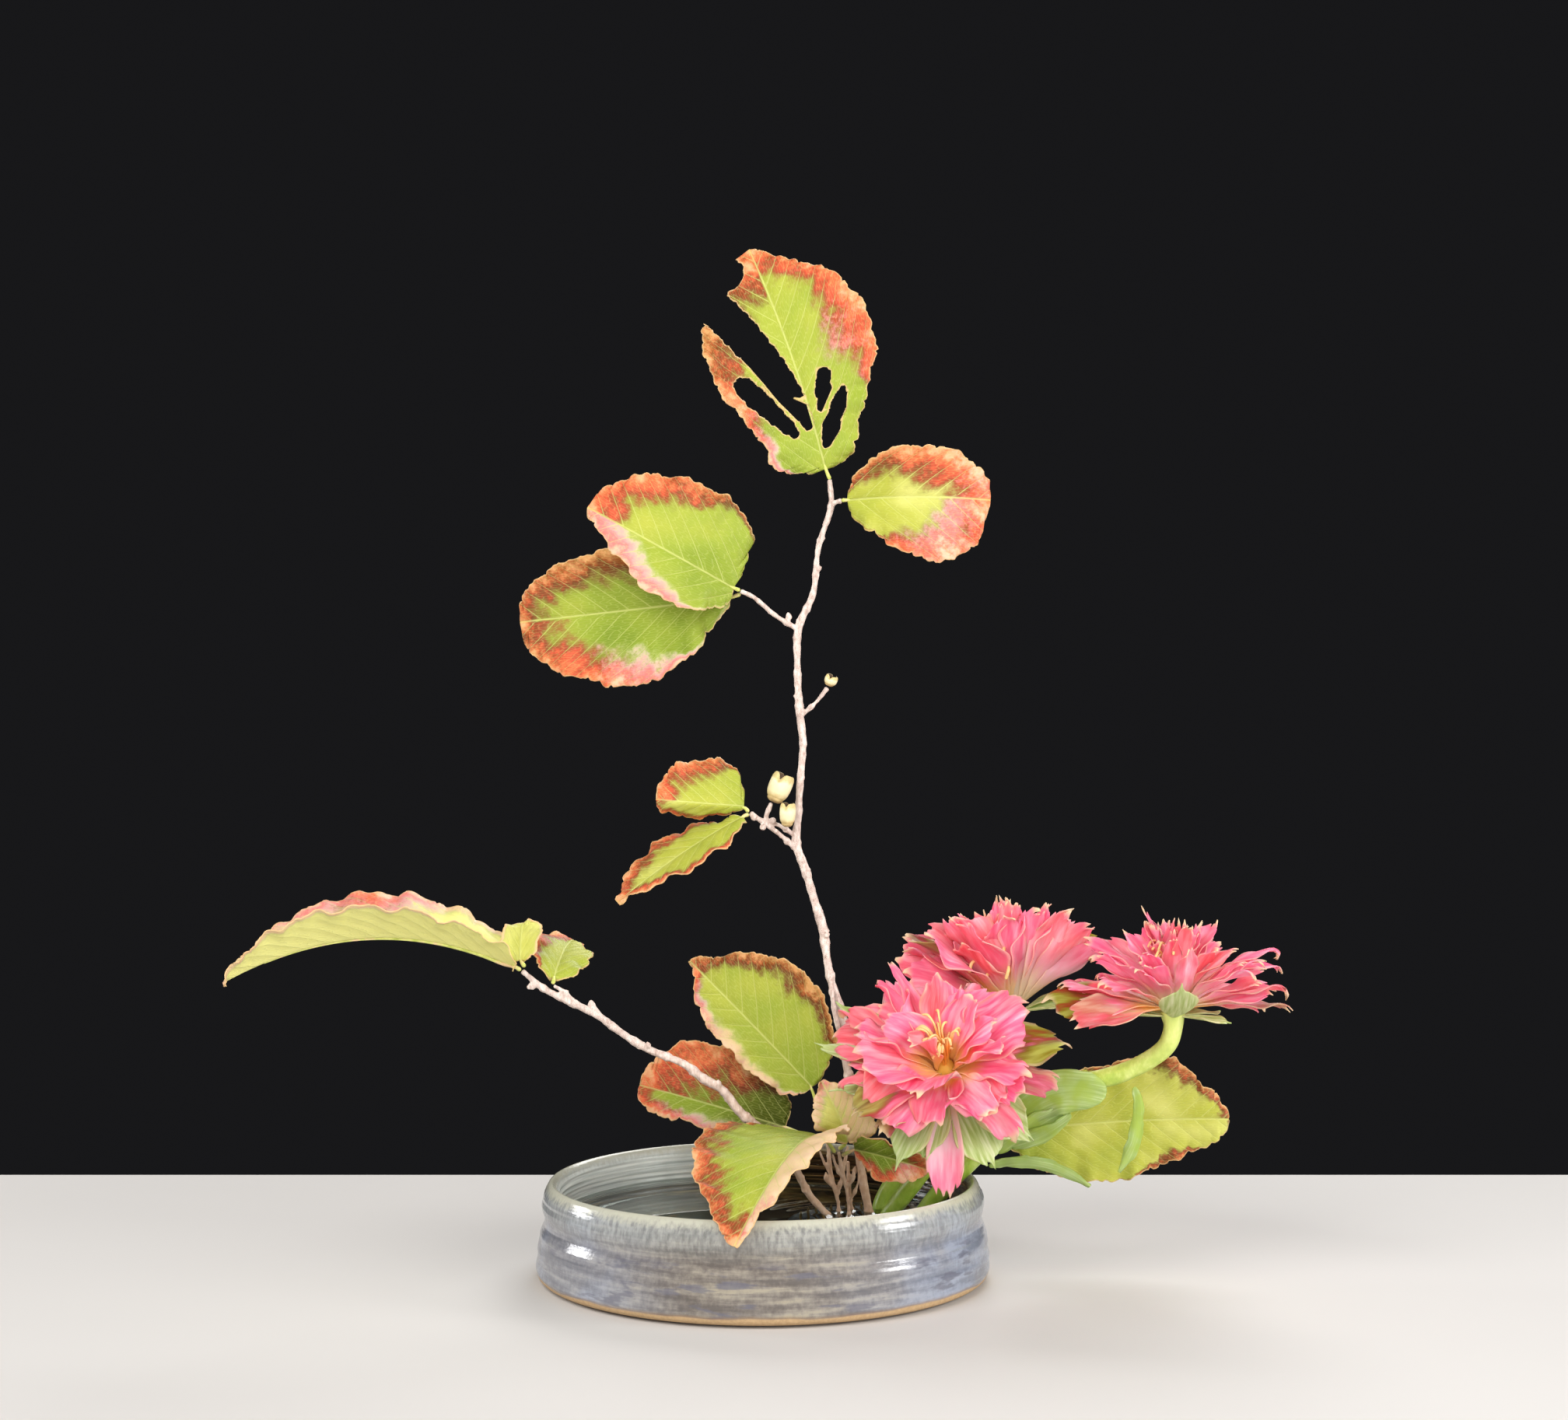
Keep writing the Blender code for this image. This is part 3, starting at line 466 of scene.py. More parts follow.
def makeHolder():
    # a cast lead disc with rows of brass pins, each a six-sided bar with a point
    low, high, radius, pin, tall, rows = (
        holder[key] for key in ("low", "high", "radius", "pinRadius", "pinHigh", "pinRows"))
    profile = ((0, low), (radius - 0.6, low), (radius, low + 0.6), (radius, high - 1.2),
               (radius - 0.4, high - 0.4), (radius - 1.2, high), (radius - 2.4, high - 0.4),
               (0, high - 0.4))
    rod = ((0, high - 1), (pin, high - 1), (pin, tall - 2.6), (0.06, tall), (0, tall + 0.02))
    steps = np.arange(-rows, rows + 1) * holder["pitch"]
    x, y = [part.ravel() for part in np.meshgrid(steps, steps)]
    kept = np.hypot(x, y) < radius - holder["rim"]
    disc = turnedShape(profile, 72, (holder["x"], 0))
    pins = [turnedShape(rod, 6, (a + holder["x"], b)) for a, b in zip(x[kept], y[kept])]
    points, faces = joinShapes([disc, *pins])
    metals = []
    # Cast lead, dull and dark grey; drawn brass, dulled by water
    for name, rough, dark, pale in (("cast lead", 0.55, "#4A4B4C", "#6E6F70"),
                                    ("drawn brass", 0.32, "#8E6E33", "#C8A552")):
        metal, add = newMaterial(name, Roughness=rough, Metallic=1.0)
        tarnish = add("TexNoise", add("TexCoord", out="Object"), Scale=1 / (3 * mm), Detail=3)
        metals.append(dress(metal, add("MixRGB", tarnish, dark, pale)))
    shades = [0] * len(disc[1]) + [1] * (len(faces) - len(disc[1]))
    makePiece("kenzan", points, faces, metals, "pin_holder", shades=shades)


# each path is x, y, z, radius, with a knot wherever the radius swells
branches = {
    "tall_branch": (
        ((42.3, 2, 18.5, 2.2), (42.3, 2, 24, 2.2), (40.1, 3, 36, 2.2), (38, 5, 52, 2.2),
         (37.6, 6, 64, 2.8), (34.8, 6, 76, 2.3), (32.8, 6, 88, 2.2), (32.2, 6, 99, 2.5),
         (30.6, 6, 106, 2.3), (27.2, 6, 117, 2.1), (25, 7, 130, 2.1), (24.3, 8, 136, 2.5),
         (20.5, 9, 149, 2.1), (16.5, 10, 162, 2.2), (13.4, 10, 171, 2.3), (14, 10, 181, 1.9),
         (15, 9, 197, 1.8), (16, 8, 212, 1.8), (14.8, 8, 223.5, 2.1), (13.8, 6, 243, 1.7),
         (14.3, 5, 258, 2.0), (20, 3, 271.5, 1.6), (22.2, 2, 290, 1.4), (27.2, 0, 307, 1.5),
         (26.6, -1.6, 316.4, 1.2)),
        ((27, 4, 118, 1.1), (28, 1.6, 108, 1.3), (30.2, 3, 97, 1.2)),
        ((14.3, 5, 257, 1.3), (4.4, 2, 263.2, 1.2), (-4.3, 0, 270.3, 1.1),
         (-8.6, -1.6, 272.2, 1.2)),
        ((15, 8, 222.5, 1.2), (21.5, 6, 228.4, 1.0), (25.6, 5.2, 233.6, 1.2)),
        ((27, 0, 306.4, 1.3), (29.6, -1.4, 308, 1.1), (31, -2.2, 308.2, 1.1)),
        ((13.6, 10, 168.5, 1.3), (7.5, 7, 174.4, 1.2), (1.2, 4, 179.3, 1.2),
         (-4.8, 1.4, 183.6, 1.3)),
        ((13.4, 10, 174, 1.2), (6.8, 6, 178.6, 1.1), (1.4, 4, 181.2, 1.2), (3.2, 3, 187.6, 1.1))),
    "left_branch": (
        ((27, -3, 18.5, 1.8), (26.4, -3, 22.5, 1.8), (18.6, -4, 32.4, 1.8), (11.5, -9, 46.2, 1.9),
         (0.8, -14, 59.1, 2.0), (-8.6, -18, 67.4, 2.4), (-16.2, -20, 77, 2.1),
         (-22.5, -22, 81, 2.4), (-30, -24, 87, 1.9), (-45.3, -27, 94, 1.9),
         (-55.1, -29, 100.5, 1.8), (-63.7, -30, 107, 1.8), (-73, -31, 111.8, 1.9),
         (-84.3, -32, 117.6, 1.6), (-92.2, -33, 124.2, 1.3)),
        ((-62.6, -30, 107, 1.2), (-66, -28.4, 110.4, 1.6), (-66.4, -28.2, 112.4, 0.8)),
        ((-72, -31, 111.8, 1.2), (-77.6, -32, 117, 1.1), (-80, -33, 118.6, 1.0)),
        ((-86.6, -32.4, 119.4, 1.1), (-88.8, -32.4, 118.6, 1.9), (-90.4, -32.4, 118, 0.9))),
    "back_twig": (((30.5, 3, 18.5, 1.4), (30, 3, 28, 1.2), (27, 2, 40, 1.5), (26, 0, 53, 1.1)),
                  ((28.4, 2.4, 34, 0.9), (25.4, 0.6, 38, 1.3), (25, 0.4, 40.6, 0.7)),
                  ((29.6, 2.8, 30, 0.9), (32.2, 1.2, 42, 1.2), (33.8, 0.2, 51, 0.8)),
                  ((29.8, 2.9, 33, 0.7), (24.6, 1.4, 44, 0.9), (22.6, 0.4, 49, 0.6))),
    "front_twig": (((34.5, -3.5, 18.5, 1.4), (33.6, -4.6, 33, 1.1), (31.4, -6.4, 43, 1.5),
                    (30, -8, 50, 1.1)),
                   ((33.4, -5, 35.5, 0.8), (35.6, -7, 39.6, 1.2), (36, -7.4, 42.4, 0.7)),
                   ((33.2, -5.2, 37, 0.8), (29.2, -6.4, 44, 1.2), (27.6, -7, 49, 0.7)),
                   ((34, -4.4, 29, 0.7), (37.2, -6.2, 36, 0.9), (38.6, -7, 43, 0.6))),
    "stub_twig": (((36, 7.5, 18.5, 1.2), (34.6, 6.5, 32, 1.4), (34, 5, 44, 1.0)),
                  ((34.4, 6, 36, 0.8), (36.6, 4, 40, 1.2), (37, 3.4, 42.6, 0.7))),
    "low_right_twig": (((63.2, 13, 18.5, 1.7), (65.6, 13, 24, 1.7), (76.8, 13.5, 37.6, 1.6),
                        (85.6, 14, 46, 1.5), (92.6, 15.4, 52, 1.3)),)}
bark = dict(slender=0.78, twigSlender=0.8,      # shares of the paths' radius
            ribs=0.04, swelling=0.16, grain=0.08, knots=0.3, knotWidth=1.1, knotSpacing=13.7,
            step=0.45, around=22, forkAround=16, voxel=0.36, brownerBelow="#B98E5E",
            streaks=((0.3, "#A68E82"), (0.42, "#BEA99E"), (0.55, "#D0BEB3"), (0.7, "#E2D4CB")))
# buds on the bark: where each sits, which way it points, its length and radius
buds = {"tall_branch": (((-2.6, 2.4, 181.5), (-0.7, -0.4, 0.5), 3.2, 1.5),
                        ((0.2, 3.4, 178.6), (-0.2, -0.8, -0.4), 2.6, 1.4),
                        ((4, 5, 180), (-0.1, -0.7, 0.6), 2.8, 1.5),
                        ((8.6, 6.6, 178), (0.3, -0.9, 0.2), 2.4, 1.3),
                        ((10.6, 4.2, 261), (-0.2, -0.3, 0.9), 3.4, 1.3),
                        ((21.4, 2.6, 281), (0.8, -0.4, 0.5), 2.6, 1.2),
                        ((24.6, 6, 134), (0.8, -0.4, 0.6), 2.8, 1.2),
                        ((36.6, 5, 66), (0.8, -0.5, 0.5), 3.4, 1.4)),
        "left_branch": (((-17, -20.6, 78), (-0.1, -0.5, 0.9), 3.4, 1.3),
                        ((-44, -27.4, 94), (-0.2, -0.5, 0.9), 3, 1.2),
                        ((10, -10, 47.4), (0.5, -0.6, 0.7), 3, 1.3))}


def barkRelief(along, turn, points):
    # faint ribs along the twig, slow swellings, a fine grain, small warts, and a ring-shaped knot
    # near the middle of each spacing
    ribs = bark["ribs"] * np.sin(5 * turn + wander(along, 2, 60))
    warts = np.maximum(grain(points, 5, 3.0, 9) - 0.6, 0)
    fromKnot = along % bark["knotSpacing"] - 6 + wander(along, 4, 31)
    knots = bark["knots"] * np.exp(-(fromKnot / bark["knotWidth"]) ** 2)
    return (ribs + bark["swelling"] * wander(along, 9, 11) + bark["grain"] * grain(points, 3, 2.4)
            + warts + knots)


def barkMaterial():
    # Smooth young bark of a witch hazel twig: pale and a little pink, with grey patches and dark
    # pores, and browner towards the bottom, from about 100 mm down
    material, add = newMaterial("young witch hazel bark", Roughness=0.7, IOR=1.45)
    place = add("TexCoord", out="Object")
    streaks = add("TexNoise", add("Mapping", place, Scale=(1, 1, 0.45)), Scale=1 / (1.4 * mm),
                  Detail=4, Roughness=0.6)
    patches = add("TexNoise", place, Scale=1 / (9 * mm), Detail=3)
    pores = add("TexNoise", place, Scale=1 / (0.8 * mm), Detail=2)
    colour = add("ValToRGB", streaks, stops=bark["streaks"])
    low = add("Math", patches, 0.03, add("SeparateXYZ", place, out=2), **timesPlus)
    # the last mix makes the bark browner towards the bottom, from about 100 mm down
    for share, paint in ((add("MapRange", patches, 0.52, 0.7, 0, 0.45, **smooth), "#A08A80"),
                         (add("MapRange", pores, 0.69, 0.76, 0, 0.55), "#7A5C48"),
                         (add("MapRange", low, 0.115, 0.05, 0, 0.55, **smooth), bark["brownerBelow"])):
        colour = add("MixRGB", share, colour, paint)
    return dress(material, colour, add("Math", pores, 0.5, streaks, **timesPlus), 0.25)


def budShape(place, way, length, radius):
    # a short pointed drop, fat in its lower third
    share = np.linspace(0, 1, 7)[:, None]
    line = np.array(place) + unit(np.array(way)) * share * length
    fat = radius * np.sin(math.pi * (0.12 + 0.83 * share ** 0.8))
    return tubeShape(np.concatenate([line, fat], 1), 0.3, 14)


def makeBranches():
    # each path of a branch as a tube of bark, with its buds
    material = barkMaterial()
    for name, paths in branches.items():
        thin = bark["slender"] * (bark["twigSlender"] if "twig" in name else 1)
        shapes = [tubeShape(np.array(path) * (1, 1, 1, thin), bark["step"],
                            bark["forkAround" if k else "around"], barkRelief, (0.2, 0.5))
                  for k, path in enumerate(paths)]
        shapes += [budShape(*bud) for bud in buds.get(name, ())]
        points, faces = joinShapes(shapes)
        piece = makePiece(name + "_bark", points, faces, [material], name)
        if len(paths) > 1:
            # one skin over the forks, then smoothed
            skin = piece.modifiers.new("one skin", "REMESH")
            skin.mode = "VOXEL"
            skin.voxel_size = bark["voxel"] * mm
            skin.use_smooth_shade = True
            soft = piece.modifiers.new("soften", "SMOOTH")
            soft.factor = 0.5
            soft.iterations = 2


# split is how deep the two valves have parted at the top
capsules = {
    "large_capsule": dict(base=(4.2, 2.6, 188.2), lean=(0.42, 0, 1), radius=4.6, height=12,
                          split=2.6),
    "small_capsule": dict(base=(9.6, 1.2, 178.4), lean=(0.05, -0.1, 1), radius=3.2, height=9.5,
                          split=1.4),
    "end_capsule": dict(base=(26.3, 5.1, 234.8), lean=(0.4, -0.3, 1), radius=2.6, height=4.4,
                        split=1.2)}
# radius and height of all of them, as shares, from the foot up and over the rim into the mouth
capsuleProfile = ((0, 0), (0.4, 0.01), (0.66, 0.08), (0.72, 0.16), (0.8, 0.2), (0.93, 0.32),
                  (1, 0.5), (1, 0.66), (0.95, 0.82), (0.86, 0.94), (0.74, 1), (0.62, 0.98),
                  (0.5, 0.86), (0.3, 0.72), (0, 0.68))


def capsuleMaterial():
    # Dry seed capsule, woody and open: cream, with a brown foot and a dark mouth
    material, add = newMaterial("dry seed capsule", Roughness=0.62)
    up, _, inside = add("SeparateXYZ", add("Attribute", attribute_name="share", out="Vector"),
                        out=None)
    mottle = add("TexNoise", add("TexCoord", out="Object"), Scale=1 / (2.2 * mm), Detail=3)
    colour = add("ValToRGB", add("Math", mottle, 0.3, up, **timesPlus), stops=(
        (0.14, "#8A6A44"), (0.34, "#C6AE78"), (0.5, "#DCCDA0"), (0.85, "#E4D8B0"), (1, "#C8B47C")))
    return dress(material, add("MixRGB", inside, colour, "#4E3820"), mottle, 0.3)


def makeCapsules():
    # a barrel turned on its own leaning axis, lobed at the mouth, with a cleft across it where the
    # two valves part
    material = capsuleMaterial()
    around, rows = 40, 48
    knots = np.arange(len(capsuleProfile))
    profile = curveThrough(knots, capsuleProfile, np.linspace(0, knots[-1], rows))
    for name, spec in capsules.items():
        shares = []

        def valves(radius, height, turn):
            # keeps each point's shares for the material, then gives the true radius and height
            top = smoothStep(0.55, 1, height)
            cleft = np.exp(-(np.cos(turn + 0.4) / 0.34) ** 2)
            lobes = 1 + 0.05 * np.cos(4 * turn) * top - 0.16 * cleft * top
            inside = (np.arange(len(height)) > 0.74 * len(height))[:, None] + 0 * height
            shares.append(np.stack([height, radius * lobes, inside], -1).reshape(-1, 3))
            return (spec["radius"] * radius * lobes,
                    spec["height"] * height - spec["split"] * cleft * top)

        points, faces = turnedShape(profile, around, relief=valves)
        points[-2:, 2] *= spec["height"]
        axis = unit(np.array(spec["lean"], float))
        side = unit(np.cross((0, 1, 0), axis))
        x, y, z = points.T[..., None]
        makePiece(name + "_shell", spec["base"] + x * side + y * np.cross(axis, side) + z * axis,
                  faces, [material], name,
                  {"share": np.concatenate([*shares, [(0, 0, 0), (0.7, 0, 1)]])})


# A leaf's half widths are left and right of its midrib, from base to tip. turned and tone are for
# its left and right halves, at seven places from base to tip: how far the autumn colour reaches in
# from the margin, as a share of the half width, and its colour, -0.6 tan, 0 brown, 0.5 red, 1 pink
# and 1.5 cream. green runs from 0, dark, to 1, pale yellow, and the share of painted shade darkens
# it towards the base. roll turns the blade about its midrib, fold lifts each half, and curl bends
# the margins.
leaves = {
    "top_leaf": dict(
        base=(24.9, -2, 321), tip=(-5.5, 0, 408.5), bulge=(2, -4, 0),
        left=(17.5, 22.5, 32, 30, 12.5), right=(11.5, 20.5, 33.5, 29, 8.5), fold=(8, 6), curl=-1.5,
        stalk=(26.4, -1.9, 317.4), green=0.52, seed=11, sweep=5, finer=1.3,
        turned=((0, 0.06, 0.15, 0.36, 0.6, 0.35, 0.34), (0, 0, -0.2, 0.46, 0.34, 0.22, 0.3)),
        tone=((0.8, 1.0, 0.8, 0.35, 0.12, 0.3, 0.42), (0.5, 0.5, 0.6, 0.65, 0.5, 0.36, 0.3))),
    "right_leaf": dict(
        base=(33.6, -3, 308.4), tip=(90, -8, 308), bulge=(0, -4, 1), roll=8,
        left=(7, 17, 20.5, 18, 10), right=(8, 16, 23.5, 24.5, 16), fold=(8, 8),
        stalk=(32, -2.4, 308.4), green=0.76, seed=12, sweep=2,
        turned=((0, 0.08, 0.34, 0.6, 0.95, 1.3, 1.5), (0, 0, 0.05, 0.4, 0.95, 1.3, 1.5)),
        tone=((0.2, 0.2, 0.2, 0.35, 0.6, 0.75, 0.7), (0.5, 0.5, 0.5, 0.75, 0.8, 0.7, 0.6))),
    "upper_left_front_leaf": dict(
        base=(-11.8, -2.8, 273.6), tip=(-69, -11, 305), bulge=(0, -5, 0), roll=12,
        left=(9, 16, 18, 10, 4), right=(20, 29, 30, 25, 15), curl=-1.5, stalk=(-9.8, -2.2, 272.8),
        green=0.5, seed=13, sweep=7,
        turned=((0, 0, 0.04, 0.4, 0.6, 0.6, 0.6), (0, 0, 0.08, 0.3, 0.4, 0.5, 0.6)),
        tone=((1.3, 1.3, 1.2, 1.05, 1, 0.9, 0.55), (0.1, 0.1, 0.1, 0.3, 0.45, 0.45, 0.5))),
    "upper_left_back_leaf": dict(
        base=(-14, 4, 269.6), tip=(-98, 12, 260.5), bulge=(0, 2, 0), roll=-4,
        left=(7, 22, 30.5, 25, 16), right=(11, 21.5, 25, 22, 14), curl=-1.5, stalk=(-9.6, 0.8, 271),
        green=0.4, seed=14,
        turned=((0, 0, 0.05, 0.36, 0.44, 0.36, 0.3), (0, 0.2, 0.4, 0.44, 0.44, 0.35, 0.3)),
        tone=((0.8, 0.9, 1, 0.85, 0.5, 0.25, 0.2), (0, 0, 0, 0.05, 0.15, 0.25, 0.25))),
    "middle_upper_leaf": dict(
        base=(-7.6, 1.2, 186.4), tip=(-42, -10, 189.5), bulge=(0, -2, 0), roll=30,
        left=(3, 7, 10, 9, 6), right=(16.5, 19.5, 19.5, 16.5, 11), fold=(-72, 6),
        stalk=(-6.2, 1.1, 184.9), green=0.68, seed=15, veins=6,
        turned=((0, 0, 0.2, 0.3, 0.3, 0.3, 0.3), (0, 0.05, 0.25, 0.42, 0.4, 0.4, 0.5)),
        tone=((0.4,) * 7, (0.2, 0.2, 0.25, 0.35, 0.4, 0.4, 0.35))),
    "middle_lower_leaf": dict(
        base=(-8.2, -1.6, 182.6), tip=(-57.4, -8, 149), bulge=(0, -3, 2), roll=60,
        left=(5, 10.5, 13.5, 8.5, 3), right=(4, 11, 16, 14, 7), stalk=(-6.4, -0.4, 183.2),
        green=0.7, seed=16, veins=7,
        turned=((0, 0, 0.1, 0.2, 0.3, 0.45, 0.6), (0, 0, 0.15, 0.3, 0.45, 0.5, 0.6)),
        tone=((0.5, 0.5, 0.5, 0.45, 0.4, 0.4, 0.4), (0.5, 0.5, 0.4, 0.35, 0.3, 0.35, 0.4))),
    "left_end_leaf": dict(
        base=(-95.4, -34, 126.4), tip=(-204, -50, 122), bulge=(0, 0, 14), roll=88,
        left=(13, 18, 22, 20, 10), right=(15, 23, 26, 20, 9), fold=(44, 40), curl=-2,
        stalk=(-93.6, -33.6, 125.2), green=1.2, seed=17, ruffle=1.5, teeth=0.8, finer=1.3,
        turned=((0, 0, 0.05, 0.1, 0.1, 0.1, 0.1), (0, 0.1, 0.16, 0.6, 0.25, 0.1, 0.1)),
        tone=((1.3,) * 7, (1.4, 1.4, 1.4, 0.7, 1.2, 1.5, 1.5))),
    "left_small_leaf": dict(
        base=(-93.6, -29.6, 128.4), tip=(-93.6, -20, 142), bulge=(0, 0, 2), left=(5, 8, 9, 6, 2),
        right=(4, 7, 9, 8, 4), fold=(34, 30), curl=0, stalk=(-92, -31.4, 126.4), green=0.8, seed=18,
        veins=4, ruffle=1.6, turned=((0, 0, 0.1, 0.1, 0.1, 0.1, 0.1),) * 2, tone=((1.4,) * 7,) * 2),
    "left_side_leaf": dict(
        base=(-80.4, -29.6, 121.8), tip=(-76, 6, 133), bulge=(0, 0, 3), left=(5, 11, 13, 10, 5),
        right=(4, 9, 11, 9, 4), fold=(10, 10), stalk=(-80.6, -32, 120), green=0.6, seed=19, veins=5,
        turned=((0, 0, 0.2, 0.5, 0.6, 0.5, 0.3), (0, 0, 0, 0.02, 0.05, 0.1, 0.2)),
        tone=((0.35,) * 7, (0.6,) * 7)),
    "centre_leaf": dict(
        base=(19.6, 12, 73), tip=(-29.8, 19, 123), bulge=(0, 3, 0), left=(8, 13, 14, 12, 2.5),
        right=(16, 26, 30, 22.5, 7), stalk=(25, 2, 55.2), green=0.55, seed=20, freckles=0.9,
        turned=((0, 0.1, 0.2, 0.3, 0.3, 0.3, 0.2), (0, 0.05, 0.14, 0.28, 0.26, 0.2, 0.2)),
        tone=((1.2, 1.2, 1.4, 1.4, 1.2, 0.4, 0.1), (0, 0, 0.02, 0.05, 0.12, 0.18, 0.2))),
    # this leaf lies in shadow: its dark green is partly painted shade, and painted shade darkens it
    # further towards its base
    "dark_leaf": dict(
        base=(9, 22, 55), tip=(-51, 33, 70.5), bulge=(0, 3, 0), left=(3, 7, 9.5, 9.5, 9),
        right=(13, 18, 23.5, 23, 13), fold=(24, 6), stalk=(23.4, 2, 52.4), green=0.32, dim=0.6,
        seed=21, turned=((0, 0.3, 0.4, 0.4, 0.4, 0.6, 0.9), (0, 0, 0.3, 0.7, 0.9, 1.1, 1.1)),
        tone=((1.4, 1.4, 1.4, 1.2, 0.7, 0.5, 0.45), (0, 0, 0.2, 0.34, 0.42, 0.5, 0.5))),
    "hanging_leaf": dict(
        base=(24.6, -13, 56.4), tip=(-9.5, -94, 31.5), bulge=(3, -6, 15), roll=50,
        left=(10, 14, 15, 10, 4), right=(13, 30, 36, 30, 11), fold=(30, 4), stalk=(28.1, -9.8, 51),
        green=0.5, seed=22, sweep=5,
        turned=((0.8, 1.2, 1.3, 1.3, 1.3, 1.1, 0.8), (0, 0.02, 0.1, 0.24, 0.3, 0.32, 0.5)),
        tone=((1.7, 1.7, 1.7, 1.7, 1.5, 1, 0.4), (0.2, 0.2, 0.25, 0.3, 0.35, 0.35, 0.4))),
    "upright_leaf": dict(
        base=(33.6, -10.2, 54.6), tip=(23, -15, 79.2), bulge=(1, -2, 0), roll=-5,
        left=(3, 7, 9.5, 8, 2.5), right=(8, 13, 13, 9.5, 3.5), fold=(6, 12), curl=0,
        stalk=(30.6, -8.2, 51.8), green=0.86, seed=23, veins=4, ruffle=1.5,
        turned=((0, 0.1, 0.15, 0.3, 0.5, 0.7, 0.8), (0.6, 1, 1.2, 1.2, 1.1, 0.9, 0.8)),
        tone=((1.4, 1.4, 1.4, 1.4, 1.3, 1.1, 0.8), (1.9, 1.9, 1.9, 1.9, 1.6, 1.3, 1.0))),
    "folded_leaf": dict(
        base=(36, -14.4, 52.4), tip=(64.6, -27, 46.4), bulge=(0, -3, 1), roll=25,
        left=(3, 8, 9, 8, 5), right=(3, 6, 10, 7, 4), fold=(14, 30), curl=0,
        stalk=(31.9, -9.8, 49.4), green=0.35, seed=24, veins=5,
        turned=((0, 0, 0, 0.1, 0.6, 0.95, 1), (0, 0.2, 0.3, 0.5, 0.8, 0.95, 1)),
        tone=((0.3, 0.3, 0.3, 0.25, 0.3, 0.3, 0.4), (0.6, 0.6, 0.55, 0.5, 0.8, 0.5, 0.4))),
    "low_right_leaf": dict(
        base=(98, 16.4, 53.8), tip=(187, 8, 60.6), bulge=(0, 4, 1), left=(10, 19, 23.5, 25.5, 10),
        right=(10, 20, 23.5, 16.5, 9), curl=-1.5, stalk=(94, 15.7, 52.6), green=0.68, seed=25,
        freckles=1.2,
        turned=((0, 0, -0.1, 0.12, 0.26, 0.1, 0.1), (0, 0.02, 0.1, -0.05, 0.16, -0.1, 0.05)),
        tone=((0.15,) * 7, (0.2,) * 7))}

# what insects have eaten from the top leaf, as strokes: distance along the midrib, distance to the
# left of it, half width; then the shreds left standing in it
eaten = (((88, 32, 10.5), (74.9, 21.7, 7.2), (62.5, 16.5, 7.4), (47, 10.5, 6.5), (36.5, 7.4, 6.2),
          (30, 5, 5), (23.2, 3.2, 3.4), (18.4, 2, 2)),
         ((41.2, 22.4, 3.9), (34, 18.4, 4.5), (26.5, 14, 3.7), (19, 9.5, 2.8), (16.8, 8.4, 1.9)),
         ((36.2, -9.6, 2.9), (30, -7.6, 3.3), (24, -4.9, 1.7)),
         ((28.6, -15.3, 1.5), (23, -11.6, 3.2), (16, -6.6, 3.4), (10.2, -3.2, 2.2)),
         ((87.8, 13.2, 8), (96, 19, 9)), ((79.5, 16.3, 1.6), (80.9, 17.5, 1.6)))
shreds = (((27.4, -0.8, 1.2), (30.6, 4.4, 0.35)), ((31, -14, 1.5), (22.6, -5.4, 0.4)),
          ((52, 20.4, 0.9), (42.5, 16.1, 0.6), (30.5, 11.2, 0.5), (20, 5.8, 0.8)))

# fineTeeth is how many fine teeth go to a large one, and plainEnds the length at base and tip over
# which all teeth fade
blade = dict(thickness=0.4, toothWidth=5.6, toothDepth=1.15, fineTooth=0.28, fineTeeth=2.6,
             plainEnds=7, waveDepth=1.0, waveLength=19, veinSlant=1.05, veinBend=90, quilt=0.42,
             groove=0.3, grooveWidth=0.9, ruffleDepth=1.3, ruffleLength=17, slowWave=0.9)
# what a leaf has where its own values don't say: how far its widest part is swept back, its teeth
# and ruffle as shares, the spacing of its side veins, and how fine its mesh is
leafHabit = dict(roll=0, fold=(6, 6), curl=-1, sweep=3.0, teeth=1.0, ruffle=1.2, veins=9,
                 finer=1.0, freckles=0.55, dim=0)
# autumn colours from the green side of a blotch to the dry margin, and the greens, dark to pale;
# the near-black is the colour of painted shade
leafColours = dict(
    greens=((0, "#36420C"), (0.2, "#6B8426"), (0.38, "#8FA434"), (0.56, "#A8B742"),
            (0.78, "#C4C650"), (1, "#F2EE98")),
    brown=((0.2, "#93903A"), (0.4, "#8A6A34"), (0.56, "#7E4622"), (0.74, "#AC6230"),
           (0.95, "#E0A868")),
    tan=((0.2, "#A39A48"), (0.5, "#8E7A52"), (0.8, "#A88454"), (1, "#D8B488")),
    red=((0.2, "#A09A44"), (0.36, "#A8743E"), (0.48, "#B4583A"), (0.64, "#DE6244"),
         (0.8, "#F08254"), (0.95, "#F4B888")),
    pink=((0.2, "#C8CF84"), (0.4, "#E0CDB0"), (0.58, "#EAB0AC"), (0.76, "#EE8E8A"),
          (0.95, "#F8CFB4")),
    cream=((0.3, "#D0D27E"), (0.55, "#ECD2A0"), (1, "#FADBBC")),
    vein="#EAEC94", dark="#2A0E04", dry="#EDCB94", underside="#E3E2B0")


def strokeDistance(x, y, strokes):
    # distance outside the nearest stroke: to its middle line, less its half width there
    best = np.full(x.shape, 1e3)
    for stroke in strokes:
        for (x1, y1, w1), (x2, y2, w2) in zip(stroke, stroke[1:]):
            along = ((x - x1) * (x2 - x1) + (y - y1) * (y2 - y1)) / ((x2 - x1)**2 + (y2 - y1)**2)
            along = np.clip(along, 0, 1)
            away = np.hypot(x - x1 - along * (x2 - x1), y - y1 - along * (y2 - y1))
            best = np.minimum(best, away - w1 - along * (w2 - w1))
    return best


